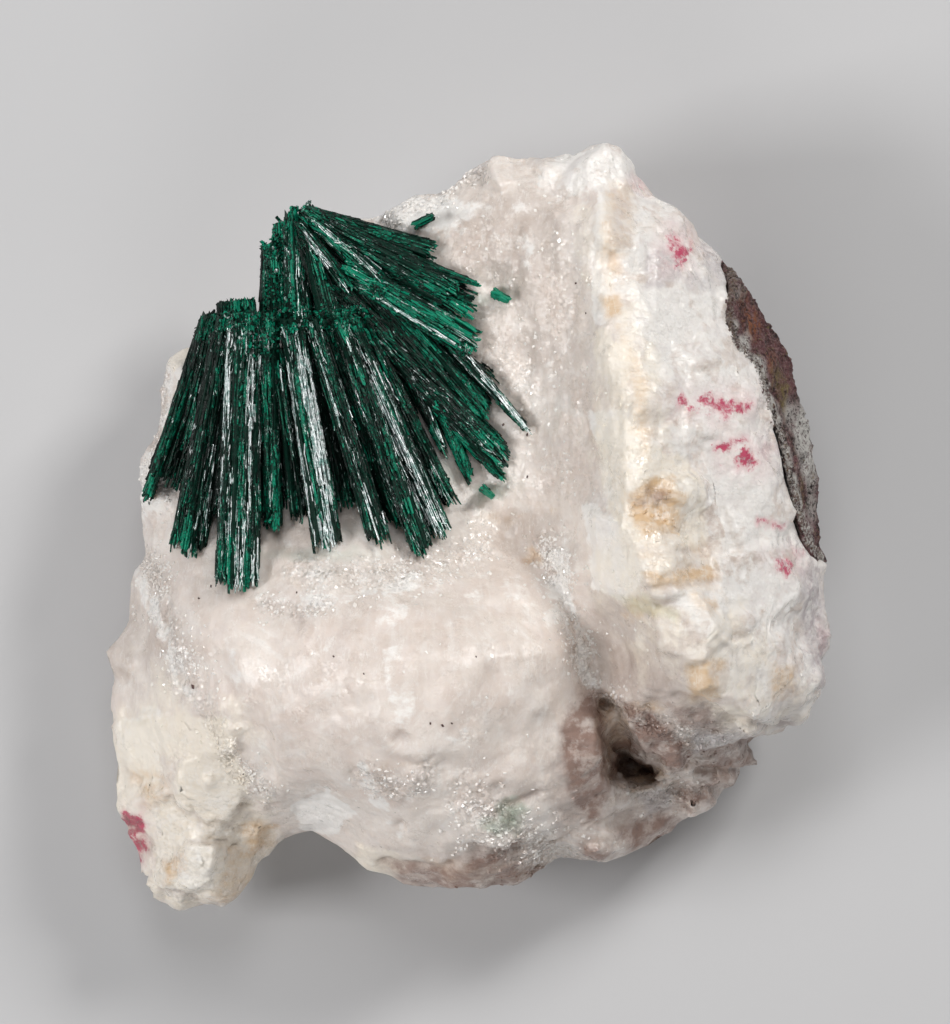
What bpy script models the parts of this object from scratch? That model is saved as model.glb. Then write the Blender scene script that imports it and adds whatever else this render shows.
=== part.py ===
"""A malachite fan on a mass of calcite, with a rind of its host rock.

The specimen lies on its flat broken back, with the side that carries the fan up.
The shapes are worked out in millimetres, and each finished mesh is scaled to metres.
"""
import math
import random

import bmesh
import bpy
import numpy as np
from mathutils import Vector, noise
from mathutils.geometry import delaunay_2d_cdt

# Driving dimensions
MM = 0.001
MM_PER_PX = 0.1
GAP = 0.3
SLIVER = 0.002
BED_LIFT = 0.42
BED_SPREAD = 1.012
GRID = 1.8
SHOULDER = 7.0
BASE_SCALE = 0.87
STAR_PX = (330, 560)
SIDE_LUMP = 0.8
SIDE_WAVE = 0.16
SIDE_CHIP = 1.6
SIDE_STEPS = [(0.99, 0.66, 0.010, 0.1), (0.965, 0.38, 0.028, 0.5), (0.94, 0.15, 0.030, 0.8),
              (BASE_SCALE, 0.0, 0.0, 1.0)]
SEED = 41

# Outline of the calcite and rock seen from above, clockwise, in picture points
OUTLINE_PX = [
    (345, 221), (362, 214), (380, 216), (390, 207), (406, 200), (423, 196), (438, 193),
    (452, 188), (466, 174), (480, 166), (492, 156), (503, 154), (515, 158), (533, 156),
    (556, 158), (571, 153), (580, 157), (588, 148), (604, 143), (620, 148), (632, 162),
    (638, 177), (648, 188), (656, 199), (673, 204), (682, 211), (694, 227), (705, 240),
    (719, 255), (727, 268), (735, 273), (741, 284), (755, 302), (762, 318), (775, 336),
    (785, 348), (792, 372), (799, 402), (808, 430), (815, 462), (818, 480), (817, 510),
    (820, 548), (828, 563), (826, 590), (826, 628), (832, 643), (823, 658), (822, 676),
    (824, 692), (813, 708), (805, 725), (786, 729), (772, 740), (755, 748), (757, 764),
    (745, 773), (739, 786), (722, 797), (710, 810), (692, 817), (680, 827), (663, 838),
    (650, 848), (630, 858), (607, 867), (585, 864), (557, 861), (543, 871), (526, 880),
    (514, 886), (500, 885), (482, 890), (467, 887), (452, 892), (436, 888), (418, 886),
    (403, 885), (388, 877), (368, 875), (354, 859), (340, 846), (322, 835), (314, 829),
    (295, 834), (275, 842), (265, 857), (257, 862), (248, 884), (240, 900), (222, 914),
    (208, 912), (190, 911), (178, 918), (160, 909), (149, 900), (141, 889), (137, 878),
    (138, 868), (130, 862), (134, 850), (131, 842), (121, 826), (113, 808), (110, 785),
    (114, 762), (114, 737), (110, 700), (116, 682), (109, 663), (104, 652), (114, 640),
    (126, 620), (129, 598), (133, 572), (143, 556), (143, 530), (142, 505), (138, 475),
    (141, 455), (152, 438), (159, 430), (158, 405), (158, 387), (167, 360), (182, 347),
    (195, 345), (210, 344), (230, 333), (252, 324), (275, 312), (290, 290), (305, 262),
    (325, 240),
]

# Heights of the crown in millimetres above the flat back
RIDGE = [
    (600, 165, 29), (604, 230, 33), (622, 320, 36), (640, 380, 38), (640, 470, 39),
    (640, 560, 40), (660, 610, 39.5), (690, 650, 38), (740, 712, 31),
]
RIGHT_FLANK = [
    (680, 250, 30), (700, 330, 31), (740, 400, 30.5), (765, 480, 29), (770, 540, 28),
    (700, 480, 35), (705, 560, 36), (760, 600, 31), (790, 650, 25), (805, 600, 24),
]
LEFT_SLOPE = [
    (470, 215, 25), (520, 230, 27), (520, 300, 27.5), (540, 420, 27), (520, 520, 25.5),
    (430, 300, 23.5), (560, 200, 28), (575, 330, 31),
]
FAN_BED = [
    (350, 250, 19), (300, 300, 19), (240, 350, 16), (200, 450, 18), (260, 450, 20),
    (330, 420, 21.5), (400, 420, 23), (470, 440, 24.5), (170, 520, 19), (250, 560, 24),
    (330, 550, 27.5), (420, 560, 29),
]
DOME = [
    (380, 620, 34.5), (380, 690, 36), (460, 650, 36), (300, 680, 33), (240, 640, 29),
    (480, 740, 33.5), (400, 780, 32), (330, 780, 28), (540, 640, 33.5), (572, 660, 31),
    (540, 740, 30.5), (170, 600, 22), (150, 650, 19), (180, 700, 23),
]
FOOT = [
    (140, 740, 16), (180, 770, 20.5), (230, 760, 24), (262, 800, 20), (200, 870, 18),
    (150, 850, 13), (232, 850, 16.5),
]
LOWER_EDGE = [
    (400, 850, 24), (500, 830, 27), (560, 840, 24), (320, 815, 20), (590, 740, 28),
    (640, 700, 31), (690, 740, 26.5), (700, 775, 21), (660, 830, 17), (620, 800, 20),
]
VALLEY_BED = [(530, 560, 28), (560, 590, 29.5), (590, 640, 29), (602, 690, 26.5)]

# Heights of the upper rim of the sides, one for each place round the outline
RIM = [
    (480, 168, 19), (600, 147, 23), (660, 200, 21), (735, 273, 18), (780, 345, 18),
    (812, 450, 17), (818, 540, 17), (829, 640, 16), (800, 720, 14), (740, 780, 12),
    (660, 838, 12), (600, 868, 12), (500, 887, 13), (420, 888, 13), (330, 840, 14),
    (262, 850, 11), (215, 913, 9), (150, 900, 8), (113, 800, 10), (112, 700, 12),
    (105, 650, 12), (142, 520, 12), (158, 400, 12), (185, 347, 12), (290, 290, 14),
    (345, 221, 16), (415, 197, 18),
]

# Crease lines: the ridge's sharp crest and the bed of the valley beside it
CREST_LINE = [
    (607, 152), (602, 200), (600, 262), (608, 330), (622, 392), (628, 448), (626, 505),
    (634, 560), (656, 606), (690, 648), (718, 688), (745, 722),
]
VALLEY_LINE = [(512, 535), (530, 558), (560, 590), (582, 632), (596, 672)]
CREST_RISE = 0.9
VALLEY_DROP = 1.8
CREASE_REACH = 3.0

# The dark three-cornered hollow under the ridge's lower end
HOLLOW_PX = [
    (594, 684), (612, 700), (640, 738), (668, 764), (669, 785), (634, 790), (603, 786),
    (597, 740),
]
HOLLOW_DEPTH = 12.0
HOLLOW_SLOPE = 9.0
HOLLOW_FLOOR_SHARE = 0.72

# Ledges: line, drop of the lower side in millimetres, reach of the lower step
LEDGES = [
    ([(690, 690), (722, 706), (752, 726), (790, 738)], 2.6, 7.0),
    ([(655, 775), (700, 762), (728, 755), (762, 748)], 2.8, 7.0),
    ([(560, 828), (612, 815), (660, 806), (706, 790)], 2.2, 6.0),
    ([(655, 250), (672, 300), (676, 352), (700, 398)], 1.3, 6.0),
    ([(700, 440), (722, 480), (728, 530), (752, 572)], 1.5, 6.0),
    ([(245, 838), (262, 800), (276, 770), (272, 735)], -1.6, 5.0),
]

# Crystals with flat faces: place, reach, rise above the crown, turn in degrees
CRYSTALS = [
    (607, 160, 26, 2.6, 15), (500, 168, 22, 2.4, 50), (545, 170, 18, 1.8, 95),
    (578, 176, 16, 1.6, 20), (116, 653, 30, 3.6, 75), (182, 372, 26, 2.8, 30),
    (210, 780, 34, 2.6, 10), (202, 864, 30, 2.4, 62), (160, 880, 18, 2.0, 35),
    (226, 884, 18, 1.8, 0), (138, 800, 20, 1.8, 40), (664, 498, 32, 2.0, 80),
    (742, 700, 24, 2.2, 25), (792, 676, 24, 2.4, 55), (668, 212, 16, 1.6, 70),
    (726, 300, 18, 1.4, 12), (800, 590, 18, 1.8, 88), (590, 846, 22, 2.2, 33),
    (694, 802, 20, 2.0, 5), (160, 500, 20, 1.4, 18), (398, 216, 18, 1.8, 42),
    (640, 410, 26, 1.6, 64), (470, 872, 22, 1.8, 27),
]

CRYSTAL_STEEPNESS = 2.7
CRYSTAL_EXTENT = 1.4

# How rough the broken faces are: place, reach and extra height of the facets
ROUGHNESS = [
    (710, 440, 110, 0.55), (700, 760, 90, 0.75), (190, 830, 90, 0.65), (560, 850, 70, 0.5),
    (600, 170, 60, 0.5), (150, 560, 60, 0.3), (790, 640, 60, 0.6),
]
FACET_COUNT = 230
FACET_AREA = (38, 40)
FACET_TILT = 0.5
FACET_BASE = 0.32

# Spacing of the points of the upper surface, in millimetres and in shares of GRID
CREASE_SPACING = 2.2
LEDGE_SPACING = 1.9
LEDGE_HALF_STEP = 0.3
GRID_ROWS = 52
GRID_COLUMNS = 46
GRID_JITTER = 0.2
GRID_CLEARANCE = 0.7
EDGE_CLEARANCE = 0.55
CLOSEST_POINTS = 0.4

# Seam between calcite and host rock, from the top of the picture down
SEAM_PX = [
    (731, 266), (732, 285), (728, 303), (727, 322), (735, 345), (757, 365), (767, 403),
    (781, 440), (789, 478), (799, 515), (811, 548), (822, 558),
]
SEAM_LEVEL = 25.0
SEAM_LEAN = 0.16
SEAM_SIDE_PX = 1000
SEAM_LEVELS = (-5.0, 60.0)
SEAM_TOP_RUN = (1.0, 1.5)
SEAM_END_RUN = (2.0, 0.5)

# Flat breaks round the lower edge: direction in degrees, distance at the back, steepness
BREAKS = [
    (12, 46.5, 0.55), (58, 39.3, 0.75), (96, 32.3, 0.6), (140, 23.6, 0.5), (176, 18.1, 0.7),
    (208, 21.0, 0.55), (236, 29.3, 0.8), (262, 24.8, 0.6), (288, 29.5, 0.7), (322, 40.7, 0.6),
    (345, 45.3, 0.8),
]

# Bundles of the malachite fan: start, tip, widths there, height of the start above
# the back, height of the tip above the calcite, and thickness at the start and tip
REAR_BUNDLES = [
    ((282, 223), (280, 270), 14, 22, 21.0, 4.5, 4.0, 5.0),
    ((276, 241), (277, 335), 26, 36, 22.0, 5.0, 4.5, 5.5),
    ((293, 209), (300, 335), 16, 30, 23.5, 6.0, 4.0, 6.0),
    ((303, 215), (336, 330), 14, 28, 24.5, 6.0, 4.0, 6.0),
    ((304, 211), (434, 253), 10, 21, 23.0, 1.9, 3.6, 2.6),
    ((304, 213), (452, 294), 16, 38, 24.2, 2.4, 4.2, 3.6),
    ((301, 211), (388, 288), 12, 20, 25.2, 5.0, 3.0, 5.0),
    ((420, 264), (480, 286), 10, 3, 26.0, 1.4, 2.0, 2.0),
    ((298, 220), (350, 290), 12, 14, 25.0, 6.6, 3.0, 5.0),
    ((338, 264), (474, 346), 22, 30, 26.0, 3.0, 5.0, 3.8),
    ((384, 292), (486, 414), 24, 26, 25.4, 2.2, 4.6, 3.4),
    ((330, 282), (504, 462), 28, 30, 25.6, 2.4, 5.0, 3.6),
    ((425, 372), (470, 478), 16, 9, 25.6, 1.8, 3.6, 2.8),
    ((430, 398), (502, 478), 18, 9, 26.2, 1.5, 3.0, 2.2),
    ((450, 342), (527, 430), 13, 6, 26.9, 2.0, 3.2, 2.4),
]
FRONT_BUNDLES = [
    ((236, 300), (240, 350), 36, 40, 24.6, 8.0, 5.0, 6.0),
    ((210, 313), (147, 498), 14, 9, 21.0, 3.0, 4.0, 4.0),
    ((217, 313), (184, 453), 24, 30, 22.6, 2.0, 5.0, 3.0),
    ((230, 316), (188, 552), 24, 36, 25.0, 2.2, 6.0, 3.8),
    ((246, 314), (238, 588), 34, 43, 27.2, 2.4, 6.5, 4.0),
    ((268, 315), (275, 529), 20, 15, 27.4, 2.6, 6.0, 3.6),
    ((279, 348), (300, 519), 13, 16, 27.0, 2.8, 5.0, 3.4),
    ((291, 315), (329, 547), 22, 29, 28.6, 2.2, 6.5, 3.8),
    ((312, 317), (381, 542), 17, 22, 28.2, 2.0, 6.0, 3.6),
    ((326, 317), (402, 524), 18, 22, 27.2, 1.7, 6.0, 3.2),
    ((338, 315), (424, 552), 18, 21, 28.2, 2.2, 6.0, 3.6),
    ((349, 317), (443, 536), 17, 21, 27.8, 2.1, 6.0, 3.6),
    ((363, 325), (452, 504), 15, 14, 26.8, 2.2, 5.0, 3.2),
    ((385, 322), (446, 454), 16, 7, 26.0, 2.0, 3.4, 2.6),
]
# Lower fibres that fill the fan between its bundles
FILL_BUNDLES = [
    ((300, 222), (468, 318), 12, 62, 23.0, 1.3, 3.0, 2.6),
    ((306, 226), (480, 410), 14, 80, 24.2, 1.3, 3.6, 3.0),
    ((302, 232), (402, 424), 16, 96, 24.4, 1.6, 3.6, 3.6),
    ((222, 314), (172, 484), 26, 54, 20.8, 1.3, 4.0, 3.0),
    ((256, 316), (250, 520), 40, 82, 25.0, 1.4, 5.0, 3.4),
    ((306, 318), (340, 506), 48, 88, 26.0, 1.5, 5.0, 3.4),
    ((352, 320), (420, 500), 40, 60, 25.6, 1.3, 4.5, 3.0),
]
STRAY_BUNDLES = {
    "stray_crystal_right": ((492, 293), (508, 301), 7, 6, 29.2, 1.9, 3.0, 3.0),
    "stray_crystal_top": ((434, 217), (414, 226), 5, 6, 27.2, 2.0, 3.2, 3.2),
    "stray_crystal_low": ((481, 487), (492, 496), 6, 4, 28.4, 1.9, 3.2, 3.2),
}
RIB_WIDTH_PX = 10.0
FILL_RIB_WIDTH_PX = 26.0
RIB_RISE = 0.75
RAGGED_END = 1.8
RAGGED_SHARE = 0.15
BUNDLE_ARCH = 0.9


def place(px, py):
    """Turn a picture point into x and y in millimetres."""
    xs = [point[0] for point in OUTLINE_PX]
    ys = [point[1] for point in OUTLINE_PX]
    middle_x = (min(xs) + max(xs)) / 2
    middle_y = (min(ys) + max(ys)) / 2
    return (px - middle_x) * MM_PER_PX, (middle_y - py) * MM_PER_PX


def place_all(points):
    return np.array([place(point[0], point[1]) for point in points])


def clear_scene():
    for item in list(bpy.data.objects):
        bpy.data.objects.remove(item, do_unlink=True)


def make_material(name, color, roughness):
    material = bpy.data.materials.new(name)
    material.use_nodes = True
    shader = material.node_tree.nodes["Principled BSDF"]
    shader.inputs["Base Color"].default_value = (*color, 1.0)
    shader.inputs["Roughness"].default_value = roughness
    shader.inputs["Metallic"].default_value = 0.0
    return material


def make_object(name, points, faces):
    """Make a closed mesh object from points in millimetres."""
    mesh = bpy.data.meshes.new(name)
    mesh.from_pydata([Vector(point) for point in points], [], faces)
    form = bmesh.new()
    form.from_mesh(mesh)
    bmesh.ops.recalc_face_normals(form, faces=form.faces)
    bmesh.ops.triangulate(form, faces=form.faces)
    form.to_mesh(mesh)
    form.free()
    item = bpy.data.objects.new(name, mesh)
    bpy.context.scene.collection.objects.link(item)
    return item


def combine(item, other, operation):
    """Join, cut or intersect an object with another and keep the result."""
    modifier = item.modifiers.new(operation.lower(), "BOOLEAN")
    modifier.operation = operation
    modifier.solver = "EXACT"
    modifier.object = other
    graph = bpy.context.evaluated_depsgraph_get()
    shape = bpy.data.meshes.new_from_object(item.evaluated_get(graph))
    item.modifiers.clear()
    old = item.data
    item.data = shape
    shape.name = item.name
    bpy.data.meshes.remove(old)


def finish_mesh(item, material):
    """Split every face into triangles, scale the mesh to metres and give its material."""
    form = bmesh.new()
    form.from_mesh(item.data)
    bmesh.ops.dissolve_degenerate(form, edges=form.edges, dist=SLIVER)
    bmesh.ops.triangulate(form, faces=form.faces)
    bmesh.ops.scale(form, vec=(MM, MM, MM), verts=form.verts)
    form.to_mesh(item.data)
    form.free()
    item.data.materials.clear()
    item.data.materials.append(material)


def segment_distance(points, line, closed):
    """Distance from each point to a line, and the side of it that it lies on."""
    ends = np.roll(line, -1, axis=0) if closed else line[1:]
    starts = line if closed else line[:-1]
    along = ends - starts
    offset = points[:, None, :] - starts[None, :, :]
    share = (offset * along).sum(axis=2) / (along ** 2).sum(axis=1)
    share = np.clip(share, 0.0, 1.0)
    away = offset - share[:, :, None] * along[None, :, :]
    distance = np.sqrt((away ** 2).sum(axis=2))
    nearest = distance.argmin(axis=1)
    row = np.arange(len(points))
    chosen = offset[row, nearest]
    turn = along[nearest, 0] * chosen[:, 1] - along[nearest, 1] * chosen[:, 0]
    return distance[row, nearest], np.sign(turn)


def is_inside(points, polygon):
    """Tell which points lie inside a polygon."""
    result = np.zeros(len(points), dtype=bool)
    following = np.roll(polygon, -1, axis=0)
    for start, end in zip(polygon, following):
        crosses = (start[1] > points[:, 1]) != (end[1] > points[:, 1])
        rise = end[1] - start[1]
        if rise == 0:
            continue
        reach = start[0] + (points[:, 1] - start[1]) * (end[0] - start[0]) / rise
        result ^= crosses & (points[:, 0] < reach)
    return result


def crown_sheet():
    """Return a function for the smooth sheet through all spot heights."""
    spots = RIDGE + RIGHT_FLANK + LEFT_SLOPE + FAN_BED + DOME + FOOT + LOWER_EDGE + VALLEY_BED
    anchors = place_all(spots)
    heights = np.array([spot[2] for spot in spots], dtype=float)
    count = len(anchors)

    def kernel(first, second):
        square = ((first[:, None, :] - second[None, :, :]) ** 2).sum(axis=2)
        return 0.5 * square * np.log(square + 1e-9)

    matrix = np.zeros((count + 3, count + 3))
    matrix[:count, :count] = kernel(anchors, anchors)
    matrix[:count, count] = 1.0
    matrix[:count, count + 1:] = anchors
    matrix[count:, :count] = matrix[:count, count:].T
    target = np.concatenate([heights, np.zeros(3)])
    weights = np.linalg.solve(matrix, target)

    def sheet(points):
        flat = weights[count] + points @ weights[count + 1:]
        return flat + kernel(points, anchors) @ weights[:count]

    return sheet


def rim_heights(points):
    """Height of the rim in the direction of each point from the star centre."""
    centre = np.array(place(*STAR_PX))
    spots = place_all(RIM) - centre
    angles = np.arctan2(spots[:, 1], spots[:, 0])
    heights = np.array([spot[2] for spot in RIM], dtype=float)
    around = points - centre
    return np.interp(np.arctan2(around[:, 1], around[:, 0]), *sorted_pair(angles, heights),
                     period=2 * math.pi)


def sorted_pair(angles, heights):
    order = np.argsort(angles)
    return angles[order], heights[order]


def facet_field(points):
    """Height of the flat broken facets, one tilted plane for each cell."""
    source = random.Random(SEED)
    seeds = np.array([(source.uniform(-FACET_AREA[0], FACET_AREA[0]),
                       source.uniform(-FACET_AREA[1], FACET_AREA[1]))
                      for _ in range(FACET_COUNT)])
    tilts = np.array([(source.uniform(-1, 1), source.uniform(-1, 1))
                      for _ in range(FACET_COUNT)]) * FACET_TILT
    offset = points[:, None, :] - seeds[None, :, :]
    nearest = (offset ** 2).sum(axis=2).argmin(axis=1)
    row = np.arange(len(points))
    plane = (offset[row, nearest] * tilts[nearest]).sum(axis=1)
    strength = np.full(len(points), FACET_BASE)
    for px, py, reach, extra in ROUGHNESS:
        away = ((points - np.array(place(px, py))) ** 2).sum(axis=1)
        strength += extra * np.exp(-away / (reach * MM_PER_PX) ** 2)
    return plane * strength


def add_creases(points, height):
    distance, _ = segment_distance(points, place_all(CREST_LINE), closed=False)
    height += CREST_RISE * np.clip(1 - distance / CREASE_REACH, 0, 1)
    distance, _ = segment_distance(points, place_all(VALLEY_LINE), closed=False)
    height -= VALLEY_DROP * np.clip(1 - distance / CREASE_REACH, 0, 1)


def add_ledges(points, height):
    """Drop the lower side of every ledge, fading out away from its line."""
    for line, drop, reach in LEDGES:
        distance, side = segment_distance(points, place_all(line), closed=False)
        fade = np.clip(1 - distance / reach, 0, 1)
        height -= np.where(side < 0, drop * fade, 0.0)


def add_crystals(points, height, bed):
    """Raise three-faced crystal corners out of the surface."""
    for px, py, reach, rise, turn in CRYSTALS:
        centre = np.array([place(px, py)])
        offset = points - centre
        apex = bed(centre)[0] + rise
        fall = np.full(len(points), -1e9)
        for step in range(3):
            angle = math.radians(turn + 120 * step)
            facing = np.array([math.cos(angle), math.sin(angle)])
            fall = np.maximum(fall, offset @ facing)
        slope = CRYSTAL_STEEPNESS * rise / (reach * MM_PER_PX)
        crystal = apex - fall * slope
        near = (offset ** 2).sum(axis=1) < (CRYSTAL_EXTENT * reach * MM_PER_PX) ** 2
        np.maximum(height, np.where(near, crystal, -1e9), out=height)


def cut_hollow(points, height):
    """Sink the three-cornered hollow with steep walls."""
    polygon = place_all(HOLLOW_PX)
    distance, _ = segment_distance(points, polygon, closed=True)
    depth = np.minimum(distance * HOLLOW_SLOPE, HOLLOW_DEPTH)
    height -= np.where(is_inside(points, polygon), depth, 0.0)


def top_height(points):
    """Height of the upper surface over points in millimetres."""
    sheet = crown_sheet()
    outline = place_all(OUTLINE_PX)

    def bed(where):
        edge, _ = segment_distance(where, outline, closed=True)
        edge = np.where(is_inside(where, outline), edge, 0.0)
        rise = 1 - np.clip(edge / SHOULDER, 0, 1)
        rim = rim_heights(where)
        return rim + (sheet(where) - rim) * np.sqrt(np.clip(1 - rise ** 2, 0, 1))

    height = bed(points)
    add_creases(points, height)
    add_ledges(points, height)
    height += facet_field(points)
    add_crystals(points, height, bed)
    cut_hollow(points, height)
    return height


def line_points(line, spacing, offset):
    """Points spaced along a line and set off to one side of it."""
    result = []
    for start, end in zip(line[:-1], line[1:]):
        along = end - start
        length = float(np.hypot(*along))
        normal = np.array([-along[1], along[0]]) / length
        steps = max(1, round(length / spacing))
        for step in range(steps):
            result.append(start + along * (step / steps) + normal * offset)
    result.append(line[-1] + normal * offset)
    return result


def surface_points(outline):
    """Points of the upper surface: feature lines first, then a loose grid."""
    fixed = []
    fixed += line_points(place_all(CREST_LINE), CREASE_SPACING, 0.0)
    fixed += line_points(place_all(VALLEY_LINE), CREASE_SPACING, 0.0)
    for line, _, _ in LEDGES:
        fixed += line_points(place_all(line), LEDGE_SPACING, LEDGE_HALF_STEP)
        fixed += line_points(place_all(line), LEDGE_SPACING, -LEDGE_HALF_STEP)
    hollow = place_all(HOLLOW_PX)
    closed = np.vstack([hollow, hollow[:1]])
    fixed += line_points(closed, LEDGE_SPACING, 0.0)[:-1]
    middle = hollow.mean(axis=0)
    fixed += [middle + (point - middle) * HOLLOW_FLOOR_SHARE for point in hollow]
    for px, py, _, _, _ in CRYSTALS:
        fixed.append(np.array(place(px, py)))
    source = random.Random(SEED + 1)
    row_height = GRID * math.sqrt(0.75)
    grid = []
    jitter = GRID_JITTER * GRID
    for row in range(-GRID_ROWS, GRID_ROWS + 1):
        for column in range(-GRID_COLUMNS, GRID_COLUMNS + 1):
            x = (column + 0.5 * (row % 2)) * GRID + source.uniform(-jitter, jitter)
            y = row * row_height + source.uniform(-jitter, jitter)
            grid.append((x, y))
    points = keep_apart(np.array(fixed), np.array(grid))
    edge, _ = segment_distance(points, outline, closed=True)
    return points[is_inside(points, outline) & (edge > EDGE_CLEARANCE * GRID)]


def keep_apart(fixed, grid):
    """Drop points that would make slivers, keeping the feature points."""
    kept = []
    for point in fixed:
        if all(math.dist(point, other) > CLOSEST_POINTS for other in kept):
            kept.append(point)
    kept = np.array(kept)
    away = ((grid[:, None, :] - kept[None, :, :]) ** 2).sum(axis=2).min(axis=1)
    return np.vstack([kept, grid[away > (GRID_CLEARANCE * GRID) ** 2]])


def side_ring(outline, rim, scale, level, wander, smooth):
    """One ring of the sides, shrunk towards the star centre and made uneven."""
    centre = np.array(place(*STAR_PX))
    around = outline - centre
    near = sum(np.roll(around, step, axis=0) for step in range(-3, 4)) / 7
    length = np.hypot(*around.T)
    calm = np.minimum(np.hypot(*near.T), length) / length
    ring = []
    for point, calm_share, top in zip(around, calm, rim):
        spot = Vector((point[0] * SIDE_WAVE, point[1] * SIDE_WAVE, level * 3.0))
        inward = wander * (0.5 + 0.9 * noise.noise(spot))
        inward += wander * noise.cell(spot * SIDE_CHIP)
        shrink = scale * (1 + (calm_share - 1) * smooth) - max(0.0, inward)
        place_x, place_y = centre + point * shrink
        lift = SIDE_LUMP * noise.noise(spot * 1.9) if 0 < level < 1 else 0.0
        ring.append([place_x, place_y, top * level + lift])
    return ring


def flatten_breaks(points):
    """Draw the parts of the lower side that stand past a break in to its plane."""
    centre = Vector((*place(*STAR_PX), 0.0))
    for direction, distance, steepness in BREAKS:
        angle = math.radians(direction)
        normal = Vector((math.cos(angle), math.sin(angle), -steepness))
        for point in points:
            outward = Vector((point[0], point[1], 0.0)) - centre
            facing = outward.dot(normal)
            allowed = distance + steepness * point[2]
            if facing > allowed:
                outward *= allowed / facing
                point[0] = centre.x + outward.x
                point[1] = centre.y + outward.y


def rock_form(name):
    """The whole closed form of calcite and rock, with the flat back at zero."""
    outline = place_all(OUTLINE_PX)
    inner = surface_points(outline)
    count = len(outline)
    flat = np.vstack([outline, inner])
    edges = [(index, (index + 1) % count) for index in range(count)]
    result = delaunay_2d_cdt([Vector(point) for point in flat], edges, [], 1, 1e-5)
    found, triangles, origins = result[0], result[2], result[3]
    order = [origin[0] if origin else -1 for origin in origins]
    place_of = {original: index for index, original in enumerate(order)}
    spots = np.array([(point.x, point.y) for point in found])
    heights = top_height(spots)
    points = [[spot[0], spot[1], height] for spot, height in zip(spots, heights)]
    rim = [points[place_of[index]][2] for index in range(count)]
    faces = [tuple(face) for face in triangles]
    rings = [[place_of[index] for index in range(count)]]
    for scale, level, wander, smooth in SIDE_STEPS:
        ring = side_ring(outline, rim, scale, level, wander, smooth)
        flatten_breaks(ring)
        start = len(points)
        points += ring
        rings.append([start + index for index in range(count)])
    for upper, lower in zip(rings[:-1], rings[1:]):
        for index in range(count):
            after = (index + 1) % count
            faces.append((upper[index], upper[after], lower[after], lower[index]))
    faces.append(tuple(rings[-1]))
    return make_object(name, points, faces)


def seam_cutter(name, shift):
    """The space on the rock's side of the seam, a slab that leans under the calcite."""
    seam = place_all(SEAM_PX)
    far_x = place(SEAM_SIDE_PX, 0)[0]
    start_y = seam[0][1] + SEAM_TOP_RUN[1]
    end_y = seam[-1][1] - SEAM_END_RUN[1]
    line = [(seam[0][0] + SEAM_TOP_RUN[0], start_y)] + [tuple(point) for point in seam]
    line += [(seam[-1][0] + SEAM_END_RUN[0], end_y), (far_x, end_y), (far_x, start_y)]
    points = []
    for level in SEAM_LEVELS:
        lean = (level - SEAM_LEVEL) * SEAM_LEAN
        for x, y in line:
            moved = x + shift + lean if x < far_x else x
            points.append((moved, y, level))
    count = len(line)
    faces = [tuple(range(count)), tuple(range(2 * count - 1, count - 1, -1))]
    for index in range(count):
        after = (index + 1) % count
        faces.append((index, after, after + count, index + count))
    return make_object(name, points, faces)


def bundle_mesh(name, bundle, sheet, source, rib_width):
    """A bundle of crystals: a ribbed wedge with ragged ends."""
    start_px, tip_px, start_width, tip_width, start_top, tip_lift, start_deep, tip_deep = bundle
    start = np.array(place(*start_px))
    tip = np.array(place(*tip_px))
    along = tip - start
    length = float(np.hypot(*along))
    along = along / length
    across = np.array([-along[1], along[0]])
    tip_top = sheet(np.array([tip]))[0] + tip_lift
    ribs = max(2, round(max(start_width, tip_width) / rib_width))
    columns = 2 * ribs + 1
    ragged = min(RAGGED_END, RAGGED_SHARE * length)
    ends = [source.uniform(0.0, 0.3) * ragged if column % 2 else
            source.uniform(0.4, 1.0) * ragged for column in range(columns)]
    starts = [source.uniform(0.0, 0.5 * ragged) for _ in range(columns)]
    rises = [source.uniform(0.4, 1.0) * RIB_RISE for _ in range(columns)]
    points = []
    for station in (0.0, 1.0):
        width = (start_width + (tip_width - start_width) * station) * MM_PER_PX
        top = start_top + (tip_top - start_top) * station
        deep = start_deep + (tip_deep - start_deep) * station
        for layer in (0, 1):
            for column in range(columns):
                side = 2.0 * column / (columns - 1) - 1.0
                shift = starts[column] if station == 0.0 else 0.0
                shift -= ends[column] if station == 1.0 else 0.0
                spot = start + along * (length * station + shift)
                spot = spot + across * (0.5 * width * side)
                arch = BUNDLE_ARCH * side ** 2
                if layer == 0:
                    rib = rises[column] if column % 2 else 0.0
                    level = top - arch + rib - RIB_RISE
                else:
                    level = top - deep
                points.append((spot[0], spot[1], level))
    faces = bundle_faces(columns, 2)
    return make_object(name, points, faces)


def bundle_faces(columns, stations):
    """Faces between the upper and lower rows of points of a bundle."""
    faces = []

    def at(station, layer, column):
        return (station * 2 + layer) * columns + column

    for station in range(stations - 1):
        for column in range(columns - 1):
            for layer in (0, 1):
                faces.append((at(station, layer, column), at(station, layer, column + 1),
                              at(station + 1, layer, column + 1),
                              at(station + 1, layer, column)))
        for column in (0, columns - 1):
            faces.append((at(station, 0, column), at(station, 1, column),
                          at(station + 1, 1, column), at(station + 1, 0, column)))
    for station in (0, stations - 1):
        for column in range(columns - 1):
            faces.append((at(station, 0, column), at(station, 0, column + 1),
                          at(station, 1, column + 1), at(station, 1, column)))
    return faces


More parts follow.
